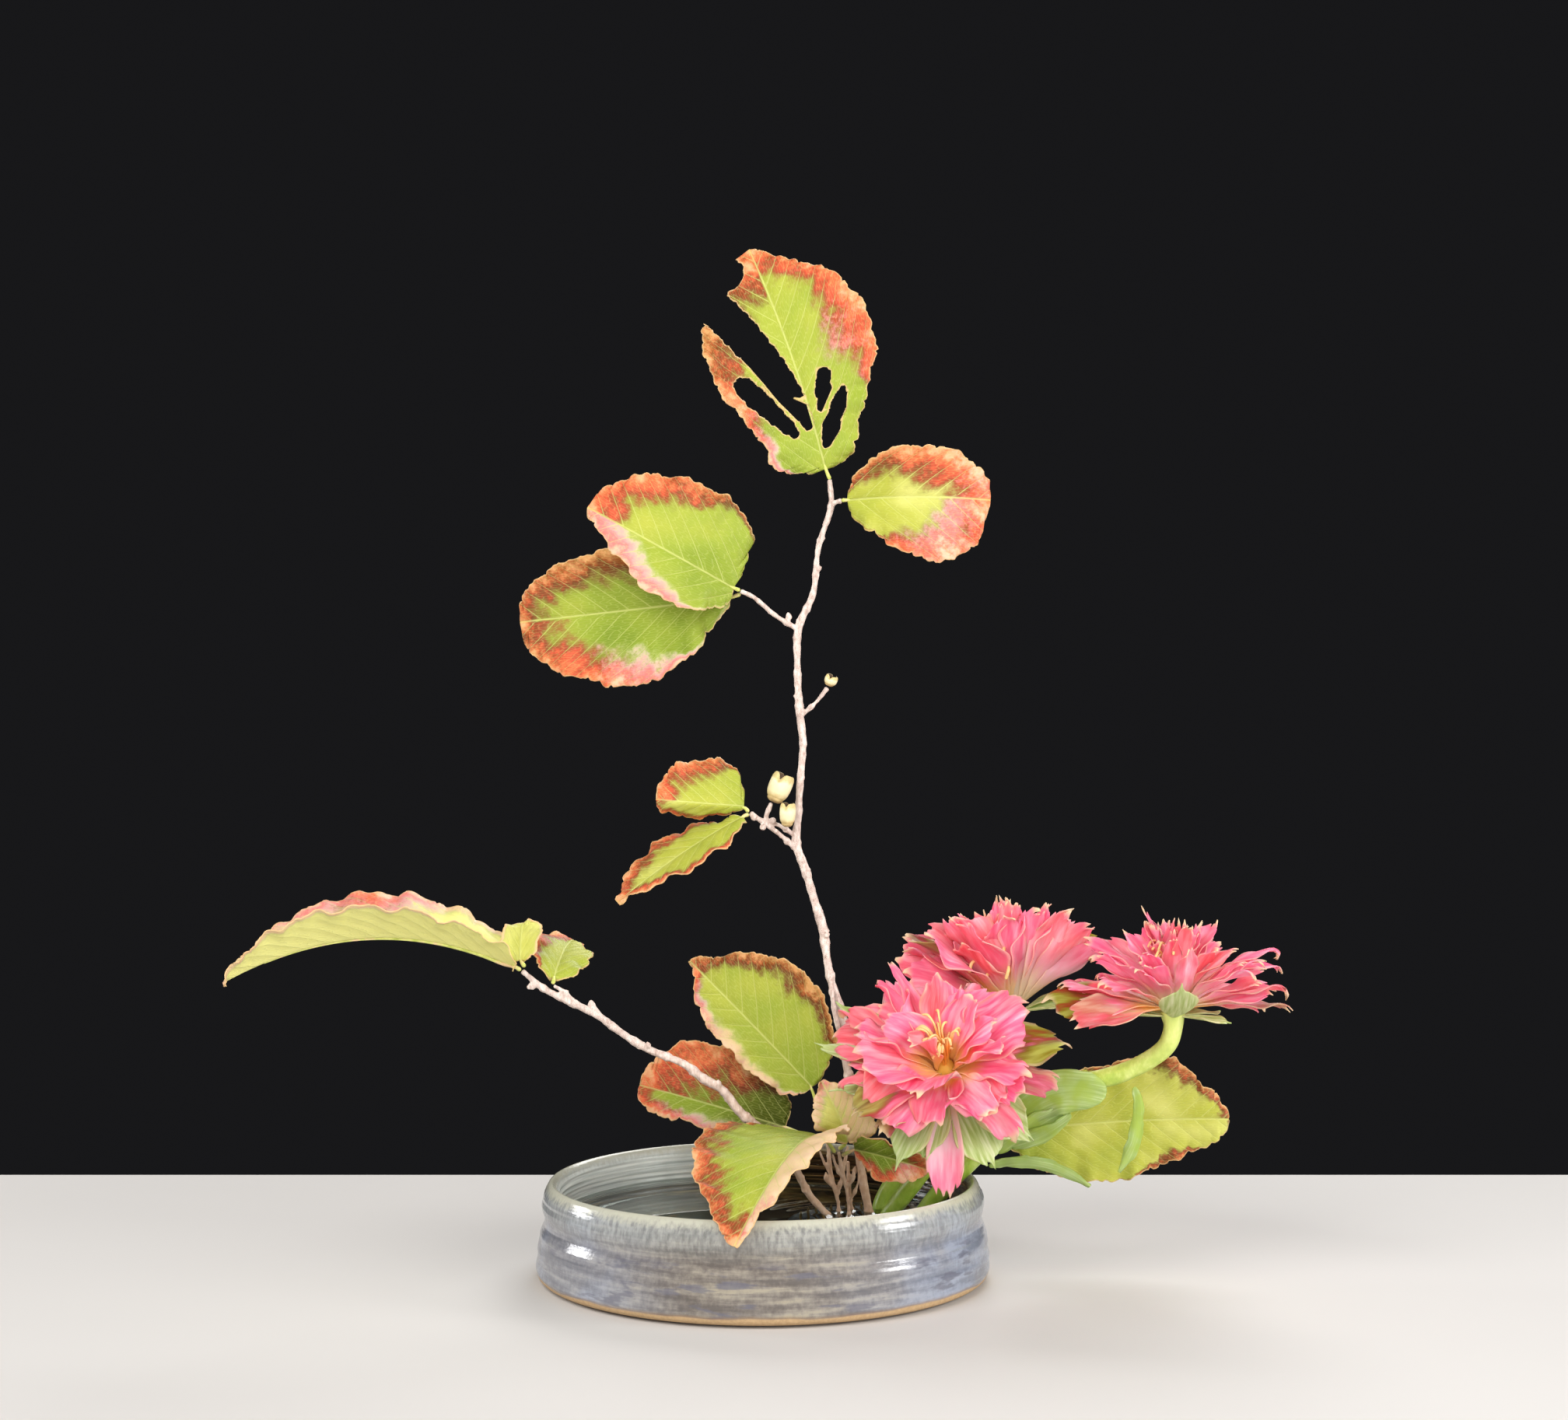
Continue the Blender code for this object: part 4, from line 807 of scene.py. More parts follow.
def flatBlade(spec, rows, half):
    # the blade laid flat: x runs along the midrib, y to the left; the margin is a half ellipse
    # through the half widths, moved out and in by rounded teeth and slow waves, and each row runs
    # straight from the midrib to the margin
    length = np.linalg.norm(np.subtract(spec["tip"], spec["base"]))
    angle = np.linspace(0.02, math.pi - 0.02, rows)
    middle = length * (1 - np.cos(angle)) / 2
    stations = np.radians((0, 30, 60, 90, 120, 150, 180))
    share = 1 - (1 - np.linspace(0, 1, half)[None, :]) ** 1.25
    parts = []
    for side, sign in enumerate((1, -1)):
        width = curveThrough(stations, (0.2, *spec[("left", "right")[side]], 0.2), angle)
        back = spec["sweep"] * np.sin(angle) * np.cos(angle / 2) ** 2
        margin = np.stack([middle - back, width], -1)
        steps = np.linalg.norm(np.diff(margin, axis=0), axis=1)
        arc = np.concatenate([[0], np.cumsum(steps)])
        way = unit(np.gradient(margin, axis=0))
        outward = np.stack([-way[:, 1], way[:, 0]], -1)
        seed = spec["seed"] * 2 + side
        phase = arc / blade["toothWidth"] + 0.45 * wander(arc, seed, 23)
        tooth = np.abs(np.sin(math.pi * (phase + 0.12 * np.sin(math.tau * phase)))) ** 0.75 - 0.6
        fine = np.abs(np.sin(math.pi * (blade["fineTeeth"] * phase + 0.3))) - 0.6
        wave = blade["waveDepth"] * wander(arc, seed + 3, blade["waveLength"])
        fromEnd = np.minimum(arc, arc[-1] - arc)
        push = spec["teeth"] * np.minimum(1, fromEnd / blade["plainEnds"]) * (
            blade["toothDepth"] * tooth * (0.85 + 0.55 * wander(arc, seed + 7, 17))
            + blade["fineTooth"] * fine + wave)
        margin = margin + outward * push[:, None]
        margin[:, 1] = np.maximum(margin[:, 1], 0.15) * sign
        turned, tone = (np.interp(angle, stations, spec[key][side]) for key in ("turned", "tone"))
        x = middle[:, None] + (margin[:, :1] - middle[:, None]) * share
        rest = [item[:, None] + 0 * x for item in (width, turned, arc, tone)]
        parts.append((x, margin[:, 1:] * share, share + 0 * x, *rest))
    return [np.concatenate([left[:, :0:-1], right], 1) for left, right in zip(*parts)]


def bladeCurve(spec, t):
    # the midrib is a parabola from base to tip, pushed aside by bulge at its middle; the blade's
    # face looks forward, turned about the midrib by roll
    base, tip, bulge = (np.array(spec[key], float) for key in ("base", "tip", "bulge"))
    control = (base + tip) / 2 + bulge * 2
    place = base * (1 - t)**2 + control * 2 * t * (1 - t) + tip * t**2
    way = unit((control - base) * (1 - t) + (tip - control) * t)
    along = unit(tip - base)
    front = np.array((0.0, -1, 0))
    face = unit(front - along * front.dot(along))
    roll = math.radians(spec["roll"])
    face = face * math.cos(roll) + np.cross(along, face) * math.sin(roll)
    left = unit(np.cross(face, way))
    return place, left, np.cross(way, left)


def bendBlade(spec, x, y, edge, arc):
    # the flat blade carried onto its place: x along the midrib's curve, y out along each half's
    # fold; the margin curls and ruffles, and the tissue swells between the side veins
    length = np.linalg.norm(np.subtract(spec["tip"], spec["base"]))
    place, left, up = bladeCurve(spec, (x / length)[..., None])
    fold = np.radians(np.where(y >= 0, *spec["fold"]))
    out = np.abs(y)
    eased = out - 1.2 * (1 - np.exp(-out / 1.2))
    side = np.sign(y) + (y == 0)
    run = left * (side * out * np.cos(fold))[..., None] + up * (eased * np.sin(fold))[..., None]
    normal = unit(up * np.cos(fold)[..., None] - left * (side * np.sin(fold))[..., None])
    # the side veins leave the midrib slanting forward and bend towards the tip
    phase = (x - blade["veinSlant"] * out - out**2 / blade["veinBend"]) / spec["veins"]
    phase = phase + np.where(y > 0, 0.3, 0.55)
    swell = np.abs(np.sin(math.pi * phase)) ** 0.7 * np.minimum(1, out / 3) * (1 - edge**6)
    groove = -blade["groove"] * np.exp(-(out / blade["grooveWidth"]) ** 2)
    seed = spec["seed"]
    ruffle = spec["ruffle"] * edge**2.5 * np.where(
        y > 0, *(wander(arc, seed + side, blade["ruffleLength"], 2) for side in (31, 37)))
    slow = blade["slowWave"] * np.sin(x / length * 5.1 + seed) * edge**1.5 * (
        np.minimum(1, length / 60))
    lift = (spec["curl"] * edge**2 + blade["quilt"] * swell + groove
            + ruffle * blade["ruffleDepth"] + slow)
    return place + run + normal * lift[..., None], phase


def leafMaterial(name, under):
    # A witch hazel leaf turning: satin skin, pale veins with a ladder of fine ones between them,
    # green that breaks in blotches to brown, red or pink from the margin inward, between the veins
    # first, and a thin dry rim. The light that passes through it is what makes it glow.
    material, add = newMaterial(name, Roughness=0.55 if under else 0.42, IOR=1.42)
    place = add("TexCoord", out="Object")
    (phase, along, out), (turned, rimAway, edge), (tone, green, dim), (spacing, freckled, _) = (
        add("SeparateXYZ", add("Attribute", attribute_name=key, out="Vector"), out=None)
        for key in ("ribs", "age", "hue", "habit"))
    blotches, freckles, light = (
        add("TexNoise", place, Scale=1 / (size * mm), Detail=detail, Roughness=rough)
        for size, detail, rough in ((11, 4, 0.6), (1.7, 3, 0.65), (20, 2, 0.5)))
    blotch, freckle, shade = (
        add("Math", part, 0.5, **minus) for part in (blotches, freckles, light))
    # side veins and midrib
    between = add("Math", phase, 0.5, operation="PINGPONG")
    thin = add("MapRange", edge, 0, 1, 0.56, 0.26)
    side = add("MapRange", add("Math", between, spacing, **times), thin, 0.05, 0, 0.8, **smooth)
    vein = add("Math", side, add("MapRange", out, 0.62, 0.2, **smooth), **greater)
    # ladder of fine veins across each field
    cross = add("CombineXYZ", add("Math", phase, 2.2, **times),
                add("Math", along, 1.5, operation="DIVIDE"))
    cells = add("TexVoronoi", cross, Scale=1.0, Randomness=0.75, feature="DISTANCE_TO_EDGE",
                voronoi_dimensions="2D")
    ladder = add("MapRange", cells, 0.12, 0.02, **smooth)
    # how far each spot has turned: 0.4 where the colour breaks, 0.9 at a fully turned margin
    spot = add("Math", blotch, 2.3, turned, **timesPlus)
    spot = add("Math", spot, add("Math", freckle, freckled, **times), **plus)
    spot = add("Math", between, 0.45, spot, **timesPlus)
    spot = add("Math", vein, -0.3, spot, **timesPlus)
    spot = add("Math", spot, 0.5, 0.34, use_clamp=True, **timesPlus)
    greens = add("ValToRGB", add("Math", shade, 0.55, green, **timesPlus),
                 stops=leafColours["greens"])
    # which autumn colour it turns, in patches
    shifted = add("Math", add("Math", freckles, blotches, **plus), 1.0, **minus)
    shifted = add("Math", shifted, 0.6, tone, **timesPlus)
    turning = add("ValToRGB", spot, stops=leafColours["brown"])
    for key, low, high in (("tan", -0.2, -0.6), ("red", 0.12, 0.45), ("pink", 0.6, 0.92),
                           ("cream", 1.1, 1.4)):
        turning = add("MixRGB", add("MapRange", shifted, low, high), turning,
                      add("ValToRGB", spot, stops=leafColours[key]))
    colour = add("MixRGB", add("MapRange", spot, 0.08, 0.5, **smooth), greens, turning)
    # painted shade: the leaf darkened towards its base by its own share
    colour = add("MixRGB", dim, colour, leafColours["dark"])
    # veins are a paler, yellower tint of what they run through
    bright = add("MixRGB", 0.55, colour, leafColours["vein"])
    colour = add("MixRGB", add("Math", ladder, 0.34, **times), colour, bright)
    colour = add("MixRGB", vein, colour, bright)
    dry = add("Math", freckles, 0.8, rimAway, **timesPlus)
    colour = add("MixRGB", add("MapRange", dry, 0.95, 0.6, 0, 0.8, **smooth), colour,
                 leafColours["dry"])
    if under:
        colour = add("MixRGB", 0.3, colour, leafColours["underside"])
    # veins stand out below and lie in grooves above
    raised = 1.0 if under else -0.6
    relief = add("Math", vein, raised, add("Math", ladder, raised / 2, **times), **timesPlus)
    relief = add("Math", freckles, 0.3, relief, **timesPlus)
    return dress(material, colour, relief, 0.28, glow=0.38)


def eatenAway(x, y):
    # distance outside what has been eaten, a little ragged; less than nothing inside it
    eatenEdge = strokeDistance(x, y, eaten) + 0.5 * wander(x + 0.7 * y, 5, 7)
    return np.maximum(eatenEdge, -strokeDistance(x, y, shreds))


def leafShape(name, spec):
    # the flat blade bent into its place, with what its material reads at each point: where it lies
    # among the veins, how far it has turned, and its colours
    length = np.linalg.norm(np.subtract(spec["tip"], spec["base"]))
    rows = int((44 + length * 1.1) * spec["finer"])
    half = int((6 + max(spec["left"] + spec["right"]) * 0.55) * spec["finer"])
    x, y, edge, width, reach, arc, tone = flatBlade(spec, rows, half)
    rimAway = (1 - edge) * width
    faces = gridFaces(*x.shape)
    if name == "top_leaf":
        # points just inside a hole are drawn out to its edge, and what stays inside goes
        away, step = eatenAway(x, y), 0.05
        faces = faces[(away.ravel() > 0)[faces].any(1)]
        slopeX = (eatenAway(x + step, y) - away) / step
        slopeY = (eatenAway(x, y + step) - away) / step
        pull = np.minimum(away, 0) / np.maximum(slopeX**2 + slopeY**2, 0.3)
        x, y = x - pull * slopeX, y - pull * slopeY
        rimAway = np.minimum(rimAway, np.maximum(away, 0))
    points, phase = bendBlade(spec, x, y, edge, arc)
    # 1 at the margin, 0 as far in as the colour reaches; below that share nothing has turned
    widest = np.where(y > 0, max(spec["left"]), max(spec["right"]))
    inward = np.minimum((1 - edge) * width, np.hypot(length - x, 0.7 * y))
    least = 0.04
    turned = 1 - np.maximum(inward, 0) / (np.maximum(reach, least) * widest)
    turned = np.where(reach > least, turned,
                      np.minimum(turned, 0) + np.minimum(reach - least, 0) * 8)
    plain = 0 * x
    # the third part of hue is the share of painted shade, strongest at the base
    sets = {"ribs": (phase, np.abs(y) * math.hypot(1, blade["veinSlant"]), np.abs(y)),
            "age": (np.clip(turned, -1.4, 1), rimAway, edge),
            "hue": (tone, spec["green"] + 0.16 * x / length + plain,
                    spec["dim"] * (1 - smoothStep(0.15, 0.6, x / length)) + plain),
            "habit": (spec["veins"] + plain, spec["freckles"] + plain, plain)}
    return points.reshape(-1, 3), faces, {key: np.stack(values, -1).reshape(-1, 3)
                                          for key, values in sets.items()}


def stalkShape(spec):
    # the stalk runs on under the blade as a tapering midrib
    base, tip, stalk = (np.array(spec[key], float) for key in ("base", "tip", "stalk"))
    t = np.linspace(0.03, 0.86, 12)[:, None]
    place, _, face = bladeCurve(spec, t)
    radius = np.minimum(0.7, 0.25 + 0.004 * np.linalg.norm(tip - base)) * (1 - 0.85 * t)
    rib = np.concatenate([place - face * (radius * 0.9 + 0.3), radius], 1)
    start = [(*stalk, 0.85), (*(stalk * 0.4 + base * 0.6), 0.72)]
    return tubeShape(np.concatenate([start, rib]), 1.2, 8)


def makeLeaves():
    # each leaf is a blade, with one skin above and one below, and its stalk
    skins = [leafMaterial("turning leaf", False), leafMaterial("turning leaf underside", True)]
    # Leaf stalk: pale yellow-green, a little pink where it meets the twig
    material, add = newMaterial("leaf stalk", Roughness=0.5)
    mottle = add("TexNoise", add("TexCoord", out="Object"), Scale=1 / (4 * mm), Detail=3)
    dress(material, add("ValToRGB", mottle, stops=(
        (0.35, "#A9B04C"), (0.5, "#C6C870"), (0.65, "#D8B88C"))))
    for name, spec in leaves.items():
        points, faces, sets = leafShape(name, {**leafHabit, **spec})
        thicken(makePiece(name + "_blade", points, faces, skins, name, sets), blade["thickness"], 1)
        makePiece(name + "_stalk", *stalkShape({**leafHabit, **spec}), [material], name)


# the flowers' own leaves: long, smooth, folded round the stems; they don't turn
stemLeafHabit = dict(leafHabit, turned=((0,) * 7,) * 2, tone=((0,) * 7,) * 2, teeth=0.4, sweep=0,
                     green=0.5, ruffle=0.8, finer=0.4, thickness=0.7)
stemLeaves = {
    "stem_leaf_broad": (
        dict(base=(94, -7, 55), tip=(134.6, -15, 74), bulge=(-4, -1, 9), roll=-14,
             left=(5, 7, 8, 8, 6), right=(4, 7, 9, 9, 6), fold=(22, 14), seed=41),
        dict(base=(92, -8.6, 50), tip=(121, -13, 69), bulge=(1, -1, 2), roll=14,
             left=(4, 6, 6, 4, 1), right=(2, 3, 4, 3, 1), fold=(30, 20), seed=42)),
    "stem_leaf_narrow": (
        dict(base=(96, -8, 53.6), tip=(121, -15, 66), bulge=(0, -1, -2), left=(2, 3, 3, 2, 1.5),
             right=(2, 3.5, 3.5, 3, 1.5), fold=(10, 10), curl=0, seed=43),),
    "stem_leaf_low": (
        dict(base=(90, -4, 44), tip=(129, -10, 37), bulge=(0, 0, 5), left=(1.5, 2, 2.5, 2, 1),
             right=(1.5, 2, 2.5, 2, 1), fold=(10, 10), curl=0, seed=44),),
    "stem_leaf_pendant": (
        dict(base=(145.8, -15.6, 77), tip=(139.6, -17, 44), bulge=(4, 0, 0),
             left=(1.5, 2, 2.5, 2.5, 1), right=(1.5, 2, 2.5, 2.5, 1), fold=(10, 10), curl=0,
             seed=45),)}


def makeStemLeaves():
    # the same blades as the branches', with less tooth and a thicker skin.
    # Waxy leaf of the flower: grey-green under a bloom of wax, with close parallel veins
    material, add = newMaterial("waxy flower leaf", Roughness=0.4, IOR=1.42)
    phase, _, out = add("SeparateXYZ", add("Attribute", attribute_name="ribs", out="Vector"),
                        out=None)
    stretched = add("CombineXYZ", add("Math", out, 1.1, **times), add("Math", phase, 0.25, **times))
    lines = add("TexNoise", stretched, Scale=1.0, Detail=3, Roughness=0.6)
    cloud = add("TexNoise", add("TexCoord", out="Object"), Scale=1 / (9 * mm), Detail=2)
    colour = add("ValToRGB", lines, stops=(
        (0.3, "#A9C26E"), (0.5, "#BFD288"), (0.7, "#DEE8B6")))
    colour = add("MixRGB", add("MapRange", cloud, 0.42, 0.62, 0, 0.8), colour, "#B8CC58")
    dress(material, colour, lines, 0.2, glow=0.5)
    for name, specs in stemLeaves.items():
        for k, spec in enumerate(specs):
            points, faces, sets = leafShape(name, {**stemLeafHabit, **spec})
            piece = makePiece(f"{name}_blade{k + 1}", points, faces, [material], name,
                              {"ribs": sets["ribs"]})
            thicken(piece, stemLeafHabit["thickness"])


# Turns go round a bloom's axis in degrees, 0 to the right and 90 up or back. A whorl has count
# petals from the first one's turn on, and none within gap degrees of the front. Its petals rise
# from square to the axis, each by chance up to spread more or less, and lean out by lean from foot
# to tip; start is the radius and height of their feet, and hook is how far their points turn.
# A bloom lifts its petals on the side that open names, and shortens them on the side that short
# names. facing turns the side ones forward, pale lightens all of them, wild scales what chance
# does to them. A single petal is laid over the outer whorl: turn, rise, length, width and what
# else differs; olive is 1 for an olive flame and -1 for a pale petal. Stamens sway right and back
# at their tips, and boss is the size of the swelling that they stand on.
petalMesh = dict(along=28, across=21, thickness=0.34, sepalThickness=0.5)
# how far the tip's corners draw back and how deep its lobes and teeth are, as shares of the length,
# its teeth's rate across, and the waves and finer waves along each margin
petalEdge = dict(corners=0.17, lobes=0.035, teeth=0.03, toothRate=0.42, waves=2.1, fineWaves=4.3)
# how much chance moves each petal of a whorl: up to so much either way, or from low to high
petalChance = dict(turn=0.32, length=(0.76, 1.04), width=(0.6, 1.12), twist=0.5, bend=0.16, lean=14,
                   hook=(0.2, 1.7), lobes=(1.0, 1.5, 2.0), point=(0.0, 0.09))
petalHabit = dict(taper=0.3, bend=0, twist=0.1)
blooms = {
    "front": dict(
        base=(70.2, -37, 86.5), axis=(-0.05, -0.62, 0.78), seed=3, open=(0, 0), facing=0,
        short=(290, 0.16), pale=-0.02, wild=1.5,
        whorls={
            "outer": dict(count=9, rise=8, spread=9, lean=26, length=42, width=31, start=(4, 0.5),
                          cup=0.5, frill=3.4, hook=-50, first=20),
            "middle": dict(count=9, rise=28, spread=13, lean=34, length=38, width=27,
                           start=(4.2, 1.8), cup=0.6, frill=3.4, hook=-40, first=50, gap=14),
            "inner": dict(count=9, rise=52, spread=14, lean=34, length=32, width=19,
                          start=(4.2, 3.0), cup=0.8, frill=3.0, hook=-20, first=0, gap=58)},
        single=((8, 10, 44, 21, dict(olive=1.0)), (-18, 4, 40, 18, dict(olive=0.5)),
                (210, 0, 38, 20, dict(olive=0.9)), (226, -8, 34, 15, dict(olive=0.7)),
                (267, -40, 45, 15, dict(lean=10, olive=-0.9, cup=0.7, frill=1.6)),
                (-52, -6, 37, 15, dict(olive=-0.3)), (119, 36, 44, 7, dict(hook=-100, olive=-0.3)),
                (131, 33, 42, 6, dict(hook=-120, olive=-0.3)),
                (154, 21, 44, 10, dict(hook=-100, olive=-0.2)),
                (172, 9, 40, 9, dict(hook=-110, olive=-0.3)),
                (190, 4, 38, 9, dict(hook=-110, olive=-0.3))),
        stamens=dict(count=26, length=(15, 27), spread=(0, 24), start=(1.2, 2.0), radius=0.5,
                     sway=(-3, 3), boss=4.2)),
    "back": dict(
        base=(100.8, 22, 103.8), axis=(-0.1, -0.04, 0.99), seed=5, open=(300, 50), facing=0.1,
        short=(180, 0.04), pale=-0.16, wild=1.2,
        whorls={
            "outer": dict(count=12, rise=37, spread=7, lean=16, length=47, width=27,
                          start=(3.6, 0.5), cup=0.6, frill=3.2, hook=-40, first=12),
            "middle": dict(count=11, rise=54, spread=11, lean=22, length=44, width=26,
                           start=(3.4, 1.8), cup=0.7, frill=3.2, hook=-30, first=20),
            "inner": dict(count=9, rise=72, spread=12, lean=24, length=39, width=20,
                          start=(3.0, 3.0), cup=0.8, frill=3.0, hook=20, first=0)},
        single=((2, 30, 46, 17, dict(olive=1.0, twist=0.5)),
                (190, 44, 50, 20, dict(olive=0.8, twist=-0.3)), (172, 34, 48, 28, dict(twist=-0.9)),
                (200, 26, 45, 26, dict(twist=-1.0)), (206, 48, 48, 30, dict(twist=-0.8)),
                (222, 62, 46, 28, dict(twist=-0.5)),
                (-20, 33, 45, 14, dict(lean=8, olive=-0.8, twist=-1.2)),
                (-30, 44, 49, 14, dict(lean=8, olive=-0.6, twist=-1.1)),
                (-42, 55, 49, 13, dict(lean=6, olive=-0.9, twist=-1.0)),
                (-54, 66, 46, 13, dict(lean=6, olive=-0.6, twist=-0.8)),
                (-76, 77, 47, 12, dict(lean=6, olive=-0.9, twist=-0.5)),
                (-95, 88, 44, 14, dict(lean=6, olive=-0.7, twist=-0.2)),
                (-120, 98, 45, 16, dict(lean=8, olive=-0.3, twist=0.4)),
                (-64, 84, 38, 11, dict(lean=4, olive=-0.9, twist=-0.6))),
        stamens=dict(count=14, length=(18, 30), spread=(10, 45), start=(1.8, 4.0), radius=0.7,
                     sway=(-6, 0), boss=4.4)),
    "right": dict(
        base=(160.4, -18.4, 107.6), axis=(0.0, 0.02, 1.0), seed=8, open=(268, 36), facing=0.5,
        short=(268, 0.16), pale=-0.32, wild=1.0,
        whorls={
            "outer": dict(count=16, rise=9, spread=7, lean=14, length=43, width=15,
                          start=(3.6, 0.5), cup=0.6, frill=1.8, hook=-45, first=8, gap=16),
            "middle": dict(count=20, rise=30, spread=12, lean=26, length=41, width=13,
                           start=(3.2, 1.8), cup=0.8, frill=1.8, hook=-60, first=22, gap=12),
            "inner": dict(count=26, rise=60, spread=17, lean=30, length=37, width=12,
                          start=(2.6, 3.0), cup=0.9, frill=1.8, hook=30, first=0)},
        single=((190, 4, 47, 22, dict(olive=1.0, lean=8, twist=-1.0)),
                (208, -2, 44, 20, dict(olive=0.4, lean=6, twist=-0.8)),
                (352, 2, 42, 11, dict(olive=0.6)), (334, 14, 44, 8, dict(hook=-120, olive=-0.2)),
                (8, 22, 46, 7, dict(lean=40, hook=-120, olive=-0.2)),
                (350, 32, 48, 7, dict(lean=50, hook=-120, olive=-0.2)),
                (310, 24, 43, 9, dict(lean=30, hook=-90))),
        stamens=dict(count=16, length=(20, 31), spread=(0, 20), start=(1.8, 4.0), radius=0.5,
                     sway=(-4, 0), boss=3.6))}

# each sepal's turn, rise, lean, length, width, hook and frill
sepalHabit = dict(cup=0.5, lobes=0.5, point=0.1, taper=0.75, olive=0, start=(3.4, -2.4))
sepals = {
    "front": ((236, -26, 12, 36, 17, -20, 0.9), (-35, -21, 8, 37, 22, -10, 1.2),
              (-60, -34, 8, 36, 20, -10, 1.1), (170, 12, 0, 47, 10, 10, 0.5),
              (151, 23, 4, 46, 13, 10, 0.7), (186, -2, 6, 38, 17, 0, 0.6),
              (252, -30, 10, 30, 15, 0, 0.6), (80, 0, 6, 24, 13, 0, 0.6)),
    "back": ((-40, 10, 10, 22, 15, 0, 0.5), (-10, 20, 6, 24, 12, 0, 0.6),
             (110, 18, 0, 26, 12, 0, 0.6), (190, 16, 6, 26, 12, 0, 0.6),
             (260, 6, 10, 24, 12, 0, 0.6)),
    "right": ((268, 28, -40, 29, 16, 0, 0.1), (188, 4, -4, 34, 13, 0, 0.6),
              (330, -4, 4, 20, 10, 0, 0.5), (40, 0, 0, 24, 12, 0, 0.6),
              (110, 0, 0, 26, 12, 0, 0.6))}


def bloomStand(spec):
    # where a bloom sits: its base, its axis, and the two directions across it
    axis = unit(np.array(spec["axis"], float))
    right = unit(np.array((1.0, 0, 0)) - axis * axis[0])
    return np.array(spec["base"], float), axis, right, np.cross(axis, right)


def petalShape(stand, petal):
    # t runs from the claw to the tip and v from side to side. The tip is drawn back towards its
    # corners and torn into small lobes, with one long curled point; the middle line starts at the
    # petal's rise, leans out by its lean, and hooks at the point; across, the petal is an arc, and
    # its margins frill in waves that grow towards the tip
    petal = {**petalHabit, **petal}
    base, axis, right, back = stand
    phase, length, lobed = petal["phase"], petal["length"], math.tau * petal["lobes"]
    t = np.linspace(0, 1, petalMesh["along"])[:, None]
    v = np.linspace(-1, 1, petalMesh["across"])[None, :]
    lobes = np.cos(lobed * v + phase) + 0.5 * np.cos(lobed * 2.3 * v + 2 * phase)
    point = petal["point"] * np.exp(-((v - 0.3 * math.sin(phase)) / 0.13) ** 2)
    teeth = np.abs(np.sin(petal["width"] * petalEdge["toothRate"] * v + phase)) ** 0.6
    s = t * (1 - petalEdge["corners"] * np.abs(v) ** 3 - petalEdge["lobes"] * (1.5 - lobes)
             + petalEdge["teeth"] * teeth + point)
    # the middle line: how steep it is, and how far out and up it has come, a little past the tip
    at = np.linspace(0, 1.25, 120)
    slope = np.radians(petal["rise"] + petal["lean"] * (0.5 - at)
                       + petal["hook"] * np.clip((at - 0.86) / 0.16, 0, 1.4) ** 2)
    step = length * (at[1] - at[0])
    out, high = (start + np.concatenate([[0], np.cumsum(part * step)]) for start, part in zip(
        petal["start"], (np.cos(slope[1:]), np.sin(slope[1:]))))
    slope = np.interp(s, at, slope)
    wide = petal["width"] / 2 * (0.2 + 0.8 * smoothStep(-0.05, 0.6, s)) * (
        1 - petal["taper"] * smoothStep(0.62, 1.1, s)) * (1 + 0.05 * np.sin(9 * s + 3 * phase))
    arc = petal["cup"] * (1.3 - s)
    across = wide * np.sin(arc * v) / np.maximum(arc, 0.05)
    lift = wide * (1 - np.cos(arc * v)) / np.maximum(arc, 0.05)
    lift = lift + petal["frill"] * s**1.5 * (
        np.abs(v) ** 1.5 * np.sin(math.tau * petalEdge["waves"] * s + phase + 1.7 * np.sign(v))
        + 0.5 * np.sin(3.1 * v + phase * 2.3) + 0.16 * np.sin(6.1 * v + phase) * s**2
        + 0.26 * np.abs(v) ** 3 * np.sin(math.tau * petalEdge["fineWaves"] * s + 2.6 * phase))
    twist = petal["twist"] * s
    across, lift = across * np.cos(twist) - lift * np.sin(twist), (
        across * np.sin(twist) + lift * np.cos(twist))
    outward = np.interp(s, at, out) - lift * np.sin(slope)
    upward = np.interp(s, at, high) + lift * np.cos(slope)
    across = across + petal["bend"] * length * s**2
    turn = math.radians(petal["turn"])
    ray = right * math.cos(turn) + back * math.sin(turn)
    side = back * math.cos(turn) - right * math.sin(turn)
    points = base + outward[..., None] * ray + upward[..., None] * axis + across[..., None] * side
    streak = np.stack([wide * v, s * length, petal["chance"] * 90 + 0 * s], -1)
    tint = np.stack([s, np.abs(v) + 0 * s, petal["olive"] + 0 * s], -1)
    return (points.reshape(-1, 3), gridFaces(*s.shape).tolist(), streak.reshape(-1, 3),
            tint.reshape(-1, 3))


def makePetals(name, made, material, node, thickness):
    # the petals of one whorl as one piece, with the place of each point on its own petal
    points, faces = joinShapes([petal[:2] for petal in made])
    streak, tint = (np.concatenate([petal[k] for petal in made]) for k in (2, 3))
    piece = makePiece(name, points, faces, [material], node, {"streak": streak, "tint": tint})
    thicken(piece, thickness)


def towards(turn, side):
    # 1 on the named side of a bloom, falling to 0 a quarter turn from it
    return max(0, math.cos(math.radians(turn - side)))


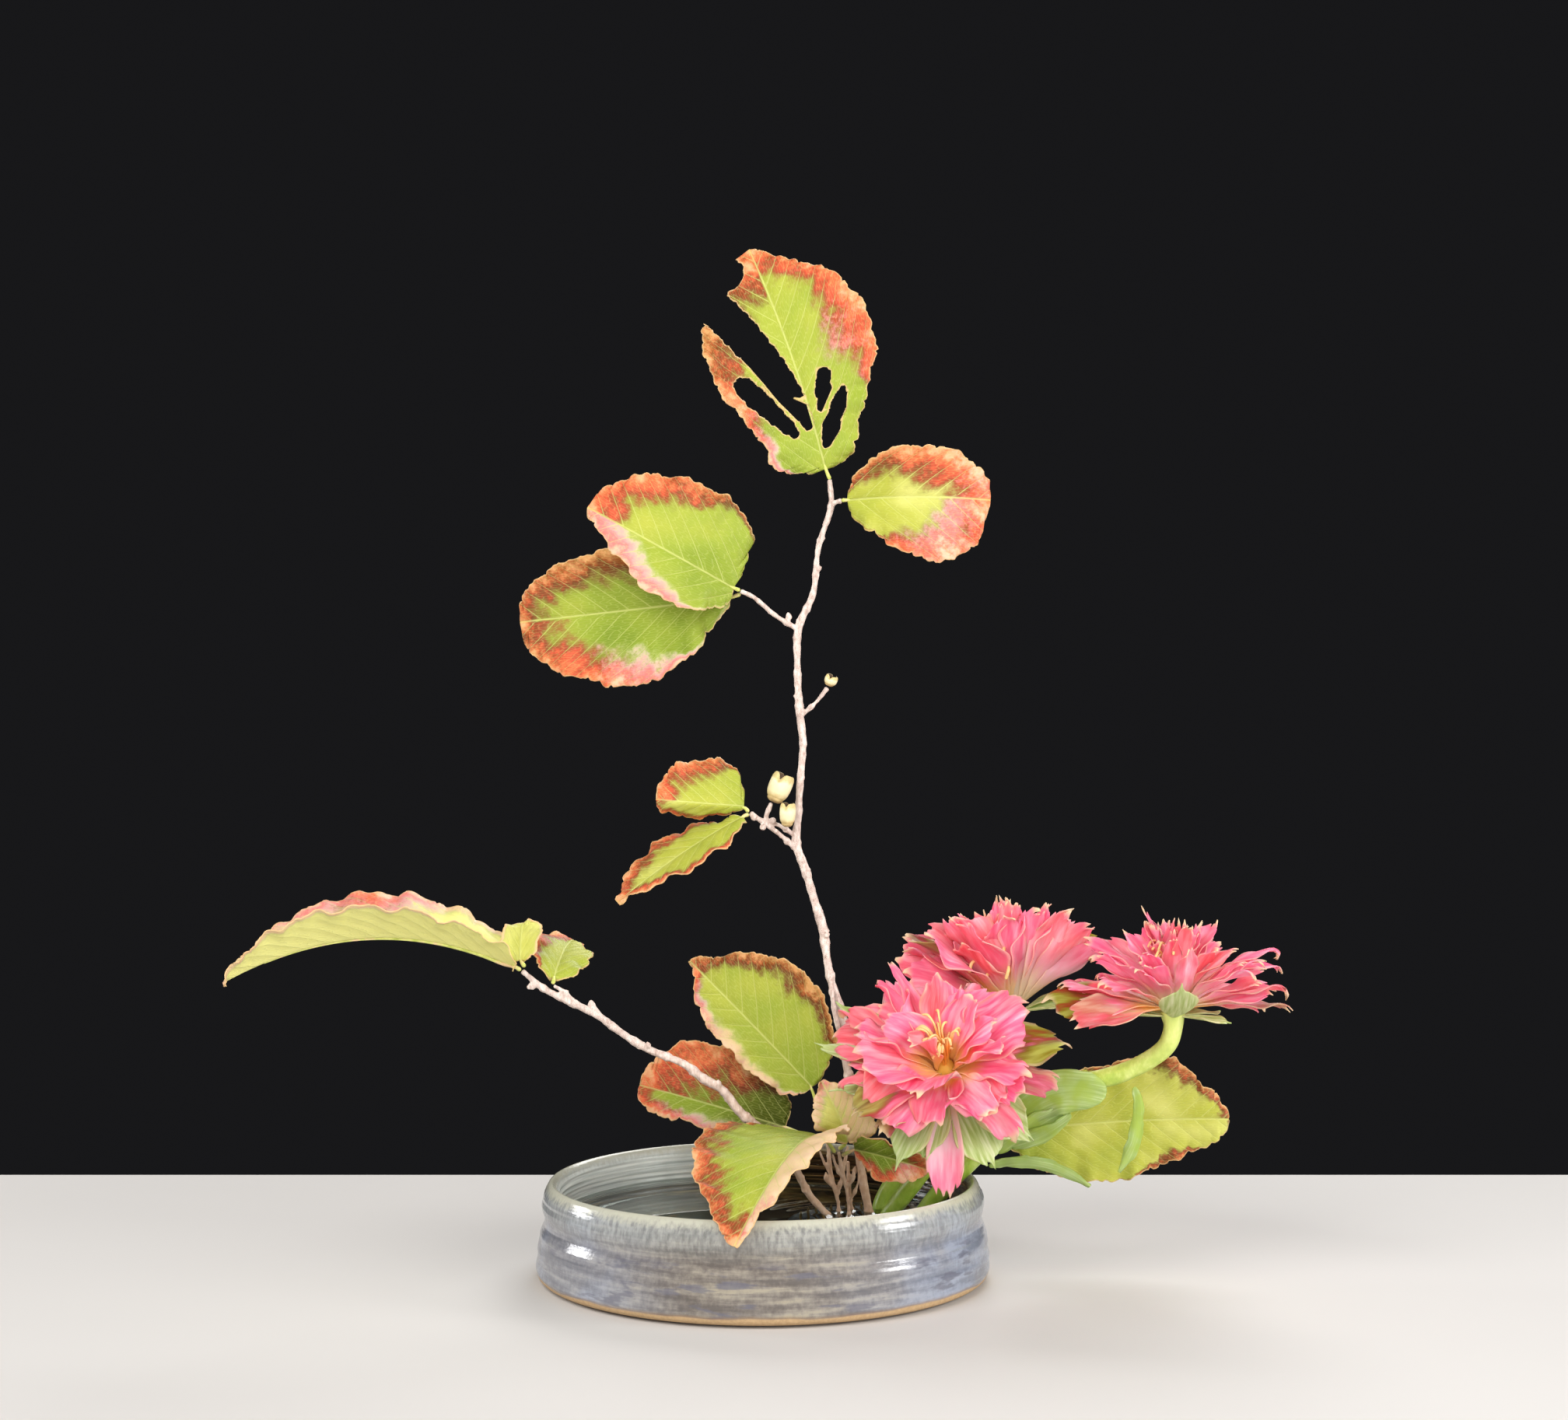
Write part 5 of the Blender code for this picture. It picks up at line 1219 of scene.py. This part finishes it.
def whorlPetals(stand, spec, kind, seed):
    # petals at even turns round the axis, the turn, rise, size, twist and lean of each moved by
    # chance, and the outer whorl's single petals after them
    chance = np.random.default_rng(seed)
    twist, bend, lean = (petalChance[key] for key in ("twist", "bend", "lean"))
    whorl = dict(spec["whorls"][kind], olive=spec["pale"])
    (openSide, opened), (shortSide, shortened), wild = (spec[k] for k in ("open", "short", "wild"))
    rows = []
    for k in range(whorl["count"]):
        moved = chance.uniform(-petalChance["turn"], petalChance["turn"])
        turn = whorl["first"] + 360 * (k + moved) / whorl["count"]
        rows.append(dict(
            whorl, turn=turn,
            rise=whorl["rise"] + opened * towards(turn, openSide)
            + chance.uniform(-1, 1) * whorl["spread"],
            length=whorl["length"] * chance.uniform(*petalChance["length"]) * (
                1 - shortened * towards(turn, shortSide)),
            width=whorl["width"] * chance.uniform(*petalChance["width"]),
            twist=chance.uniform(-twist, twist) * wild
            + spec["facing"] * math.cos(math.radians(turn)),
            bend=chance.uniform(-bend, bend) * wild,
            lean=whorl["lean"] + chance.uniform(-lean, lean) * wild))
    front, gap = 268, whorl.get("gap", 0)
    rows = [row for row in rows if abs((row["turn"] - front + 180) % 360 - 180) >= gap]
    if kind == "outer":
        rows += [{**whorl, **dict(zip(("turn", "rise", "length", "width"), single)), **single[4]}
                 for single in spec["single"]]
    return [petalShape(stand, dict(
        row, hook=row["hook"] * chance.uniform(*petalChance["hook"]),
        lobes=chance.choice(petalChance["lobes"]), phase=chance.uniform(0, math.tau),
        point=chance.uniform(*petalChance["point"]), chance=chance.uniform())) for row in rows]


petalColours = dict(
    rose=((0.3, "#F76496"), (0.48, "#FC88AE"), (0.62, "#FFAEC8"), (0.76, "#FFDEEA")),
    salmon=((0.3, "#F66A7C"), (0.48, "#FD8894"), (0.62, "#FFAAB0"), (0.76, "#FFDCDE")),
    moss=((0.38, "#B8452C"), (0.46, "#A8702E"), (0.52, "#A5992F"), (0.64, "#C3C25E")),
    flame="#FFE4EA", claw=("#FFDD88", "#FDEFD4"), tip="#FBE6C4")


def petalMaterial():
    # Petal of a frilled double bloom: thin satin tissue, salmon to rose, with fine lengthwise
    # veins, paler flames up from a golden or cream claw, partly real streaks and partly painted
    # highlight, cream curled points, and on a few petals an olive flame broken with red. Light
    # through it fills the folds with pink.
    material, add = newMaterial("frilled petal", Roughness=0.42, IOR=1.42, Sheen_Weight=0.2,
                                Sheen_Tint="#FFD8DE")
    streak = add("Attribute", attribute_name="streak", out="Vector")
    along, edge, olive = add("SeparateXYZ", add("Attribute", attribute_name="tint", out="Vector"),
                             out=None)
    # patterns drawn out along the petal
    veins, flames, hue = (
        add("TexNoise", add("Mapping", streak, Scale=scale), Scale=1.0, Detail=detail,
            Roughness=rough)
        for scale, detail, rough in (
            ((0.5, 0.07, 1), 3, 0.55), ((0.26, 0.045, 1), 3, 0.5), ((0.03, 0.02, 1), 1, 0.5)))
    rose, salmon = (add("ValToRGB", veins, stops=petalColours[key]) for key in ("rose", "salmon"))
    colour = add("MixRGB", add("MapRange", hue, 0.46, 0.64), rose, salmon)
    # pale flames low on every petal, and further up on the pale ones: partly real streaks, partly
    # painted highlight
    paleFlamesAndHighlight = add("Math", add("MapRange", flames, 0.47, 0.68, 0, 0.8, **smooth),
                add("MapRange", along, 1.0, 0.35, 0.25, 1), **times)
    low = add("Math", flames, 0.9, along, **timesPlus)
    low = add("MapRange", low, 1.3, 0.85, 0.2, 1, **smooth)
    low = add("Math", add("MapRange", olive, 0, -1), low, **times)
    colour = add("MixRGB", add("Math", paleFlamesAndHighlight, low, **greater), colour,
                 petalColours["flame"])
    claw = add("Math", veins, 0.35, along, **timesPlus)
    claw = add("MapRange", claw, 0.68, 0.34, 0, 0.95, **smooth)
    gold = add("MixRGB", add("MapRange", olive, -0.05, -0.28), *petalColours["claw"])
    colour = add("MixRGB", claw, colour, gold)
    # the olive flame fills the outer part of its petal, ragged at its lower end
    place = add("Math", add("Math", flames, 0.5, **minus), 1.3, along, **timesPlus)
    leafy = add("Math", add("MapRange", place, 0.42, 0.66, **smooth),
                add("Math", olive, 0.0, **greater), **times)
    colour = add("MixRGB", leafy, colour, add("ValToRGB", flames, stops=petalColours["moss"]))
    tip = add("Math", flames, 0.12, along, **timesPlus)
    tip = add("MapRange", tip, 0.98, 1.07, **smooth)
    rim = add("MapRange", edge, 0.86, 1.0, 0, 0.5)
    colour = add("MixRGB", add("Math", tip, rim, **greater), colour, petalColours["tip"])
    return dress(material, colour, veins, 0.3, glow=0.55)


def sepalMaterial():
    # Soft green sepals: pale, waxy and ribbed, whitish towards the middle
    material, add = newMaterial("waxy sepal", Roughness=0.45)
    streak = add("Attribute", attribute_name="streak", out="Vector")
    edge = add("SeparateXYZ", add("Attribute", attribute_name="tint", out="Vector"), out=1)
    ribs = add("TexNoise", add("Mapping", streak, Scale=(0.8, 0.08, 1)), Scale=1.0, Detail=3)
    colour = add("ValToRGB", ribs, stops=((0.3, "#B0C26C"), (0.5, "#CDDA9A"), (0.7, "#E8EDC6")))
    colour = add("MixRGB", add("MapRange", edge, 0.8, 1.0, 0, 0.5), colour, "#E6D6A6")
    return dress(material, colour, ribs, 0.25, glow=0.45)


def makeStamens(name, stand, spec, seed, material):
    # each filament leans out from the axis, bends, and ends in a small swollen hook
    base, axis, right, back = stand
    chance = np.random.default_rng(seed + 50)
    shapes, alongs, golden = [], [], 0.618      # golden turns keep each clear of those before it
    t = np.linspace(0, 1, 9)[:, None]
    for k in range(spec["count"]):
        turn = math.tau * (k * golden + chance.uniform(-0.05, 0.05))
        lean = math.radians(chance.uniform(*spec["spread"]))
        ray = 0.75 * right * math.cos(turn) + back * math.sin(turn)
        turned = lean + chance.uniform(0.3, 1.3) * (t - 0.4) + 9 * np.maximum(t - 0.8, 0)
        step = chance.uniform(*spec["length"]) / len(t)
        out, high = (start + np.cumsum(part, 0) * step for start, part in zip(
            spec["start"], (np.sin(turned), np.cos(turned))))
        radius = spec["radius"] * (1 - 0.35 * t + 0.7 * np.exp(-((t - 0.94) / 0.07) ** 2))
        path = base + out * ray + high * axis
        for sway, way in zip(spec["sway"], (right, back)):
            path = path + t**1.5 * sway * way
        shapes.append(tubeShape(np.concatenate([path, radius], 1), 0.9, 8))
        away = np.linalg.norm(shapes[-1][0] - path[0], axis=1)
        alongs.append(np.clip(away / away.max(), 0, 1))
    # the swollen middle that they stand on
    boss = [(*(base + axis * rise), size * spec["boss"]) for rise, size in (
        (1, 1), (2.6, 0.9), (4.2, 0.7), (5.4, 0.45))]
    shapes.append(tubeShape(boss, 0.6, 16))
    alongs.append(np.full(len(shapes[-1][0]), 0.1))
    makePiece(f"{name}_filaments", *joinShapes(shapes), [material], name + "_stamens",
              {"along": np.concatenate(alongs)})


def stamenMaterial():
    # Filaments: yellow-green at the foot, orange-yellow above, with pale anthers
    material, add = newMaterial("filament and anther", Roughness=0.45)
    mottle = add("TexNoise", add("TexCoord", out="Object"), Scale=1 / (2.5 * mm), Detail=3)
    along = add("Attribute", attribute_name="along", out="Fac")
    colour = add("ValToRGB", add("Math", mottle, 0.3, along, **timesPlus), stops=(
        (0.2, "#FFCF62"), (0.55, "#F6A848"), (0.8, "#F8B85E"), (1, "#FADF9E")))
    return dress(material, colour, glow=0.4)


def makeBlooms():
    # each bloom's whorls, then its sepals, shaped as petals too, and its stamens
    petal, sepal, stamen = petalMaterial(), sepalMaterial(), stamenMaterial()
    for name, spec in blooms.items():
        stand = bloomStand(spec)
        for k, kind in enumerate(spec["whorls"]):
            made = whorlPetals(stand, spec, kind, spec["seed"] * 10 + k)
            makePetals(f"{name}_{kind}_frills", made, petal, f"{name}_{kind}_petals",
                       petalMesh["thickness"])
        keys = ("turn", "rise", "lean", "length", "width", "hook", "frill")
        made = [petalShape(stand, {**sepalHabit, "phase": k * 1.3, "chance": k / 7,
                                   **dict(zip(keys, row))}) for k, row in enumerate(sepals[name])]
        makePetals(f"{name}_sepals", made, sepal, name + "_calyx", petalMesh["sepalThickness"])
        makeStamens(name, stand, spec["stamens"], spec["seed"], stamen)


# each path is x, y, z, radius
flowerStems = {
    "front": ((49.5, -4, 18.5, 3.4), (49.5, -4, 23, 3.4), (55, -8, 32, 3.4), (64.5, -13, 46, 3.3),
              (70, -19, 60, 3.2), (71.8, -24, 70, 3.1), (71.4, -29, 77.6, 3.1),
              (71, -33, 81.6, 3.1), (70.6, -35.4, 84, 3.4), (70.3, -36.8, 86, 4.4)),
    "back": ((47, 9.5, 18.5, 3.4), (48, 10, 27, 3.4), (55, 11, 38, 3.4), (66, 12, 50, 3.3),
             (78, 14, 62, 3.2), (90, 18, 74, 3.1), (99.5, 23, 86, 3.0), (102.4, 24.6, 93, 3.0),
             (101.4, 23.5, 99.3, 3.2), (100.2, 22.2, 103.8, 4.4)),
    "right": ((62.7, 5, 18.5, 3.7), (65, 5, 24, 3.7), (76, 4, 37.6, 3.7), (84.4, 3, 46, 3.7),
              (96.3, 1, 56, 3.8), (109, 0, 68, 3.9), (126.9, -4, 76.6, 3.8), (140.5, -8, 81, 3.7),
              (152, -13, 87.4, 3.6), (158.6, -17, 94, 3.5), (160.6, -18.6, 101.2, 3.7),
              (160.4, -18.4, 106.8, 5.0))}

stem = dict(ribs=0.1, swelling=0.14, step=0.8, around=28, ends=(0.1, 0.3))


def stemRelief(along, turn, points):
    # six faint ribs that wander, and slow swellings
    ribs = stem["ribs"] * np.sin(6 * turn + 0.5 * wander(along, 3, 60))
    return ribs + stem["swelling"] * wander(along, 8, 26)


def makeStems():
    # Juicy green stem: smooth, faintly ribbed, yellow-green above and darker towards the bottom
    material, add = newMaterial(
        "juicy flower stem", Roughness=0.36, IOR=1.42, Subsurface_Weight=0.12,
        Subsurface_Radius=(0.8, 1.0, 0.3), Subsurface_Scale=2 * mm)
    place = add("TexCoord", out="Object")
    streaks = add("TexNoise", add("Mapping", place, Scale=(0.6, 0.6, 0.35)), Scale=1 / (2 * mm),
                  Detail=4, Roughness=0.6)
    height = add("SeparateXYZ", place, out=2)
    colour = add("ValToRGB", streaks, stops=(
        (0.3, "#96B23C"), (0.5, "#B2C654"), (0.7, "#D2DE84")))
    high = add("Math", add("MapRange", height, 0.07, 0.1), 0.5, **times)
    colour = add("MixRGB", high, colour, "#DCE08C")
    # darker green from 56 mm down to 28 mm, above the water
    low = add("MapRange", height, 0.056, 0.028, 0, 0.6, **smooth)
    dress(material, add("MixRGB", low, colour, "#6E9226"), streaks, 0.25)
    for name, path in flowerStems.items():
        points, faces = tubeShape(path, stem["step"], stem["around"], stemRelief, stem["ends"])
        makePiece(name + "_stem", points, faces, [material], name + "_flower_stem")


for stage, makers in {"camera, light and floor": (makeCamera, makeLight, makeFloor),
                      "bowl, water and pin holder": (makeBowl, makeWater, makeHolder),
                      "branches and seed capsules": (makeBranches, makeCapsules),
                      "leaves": (makeLeaves, makeStemLeaves),
                      "flower stems and blooms": (makeStems, makeBlooms)}.items():
    print(stage)
    for make in makers:
        make()
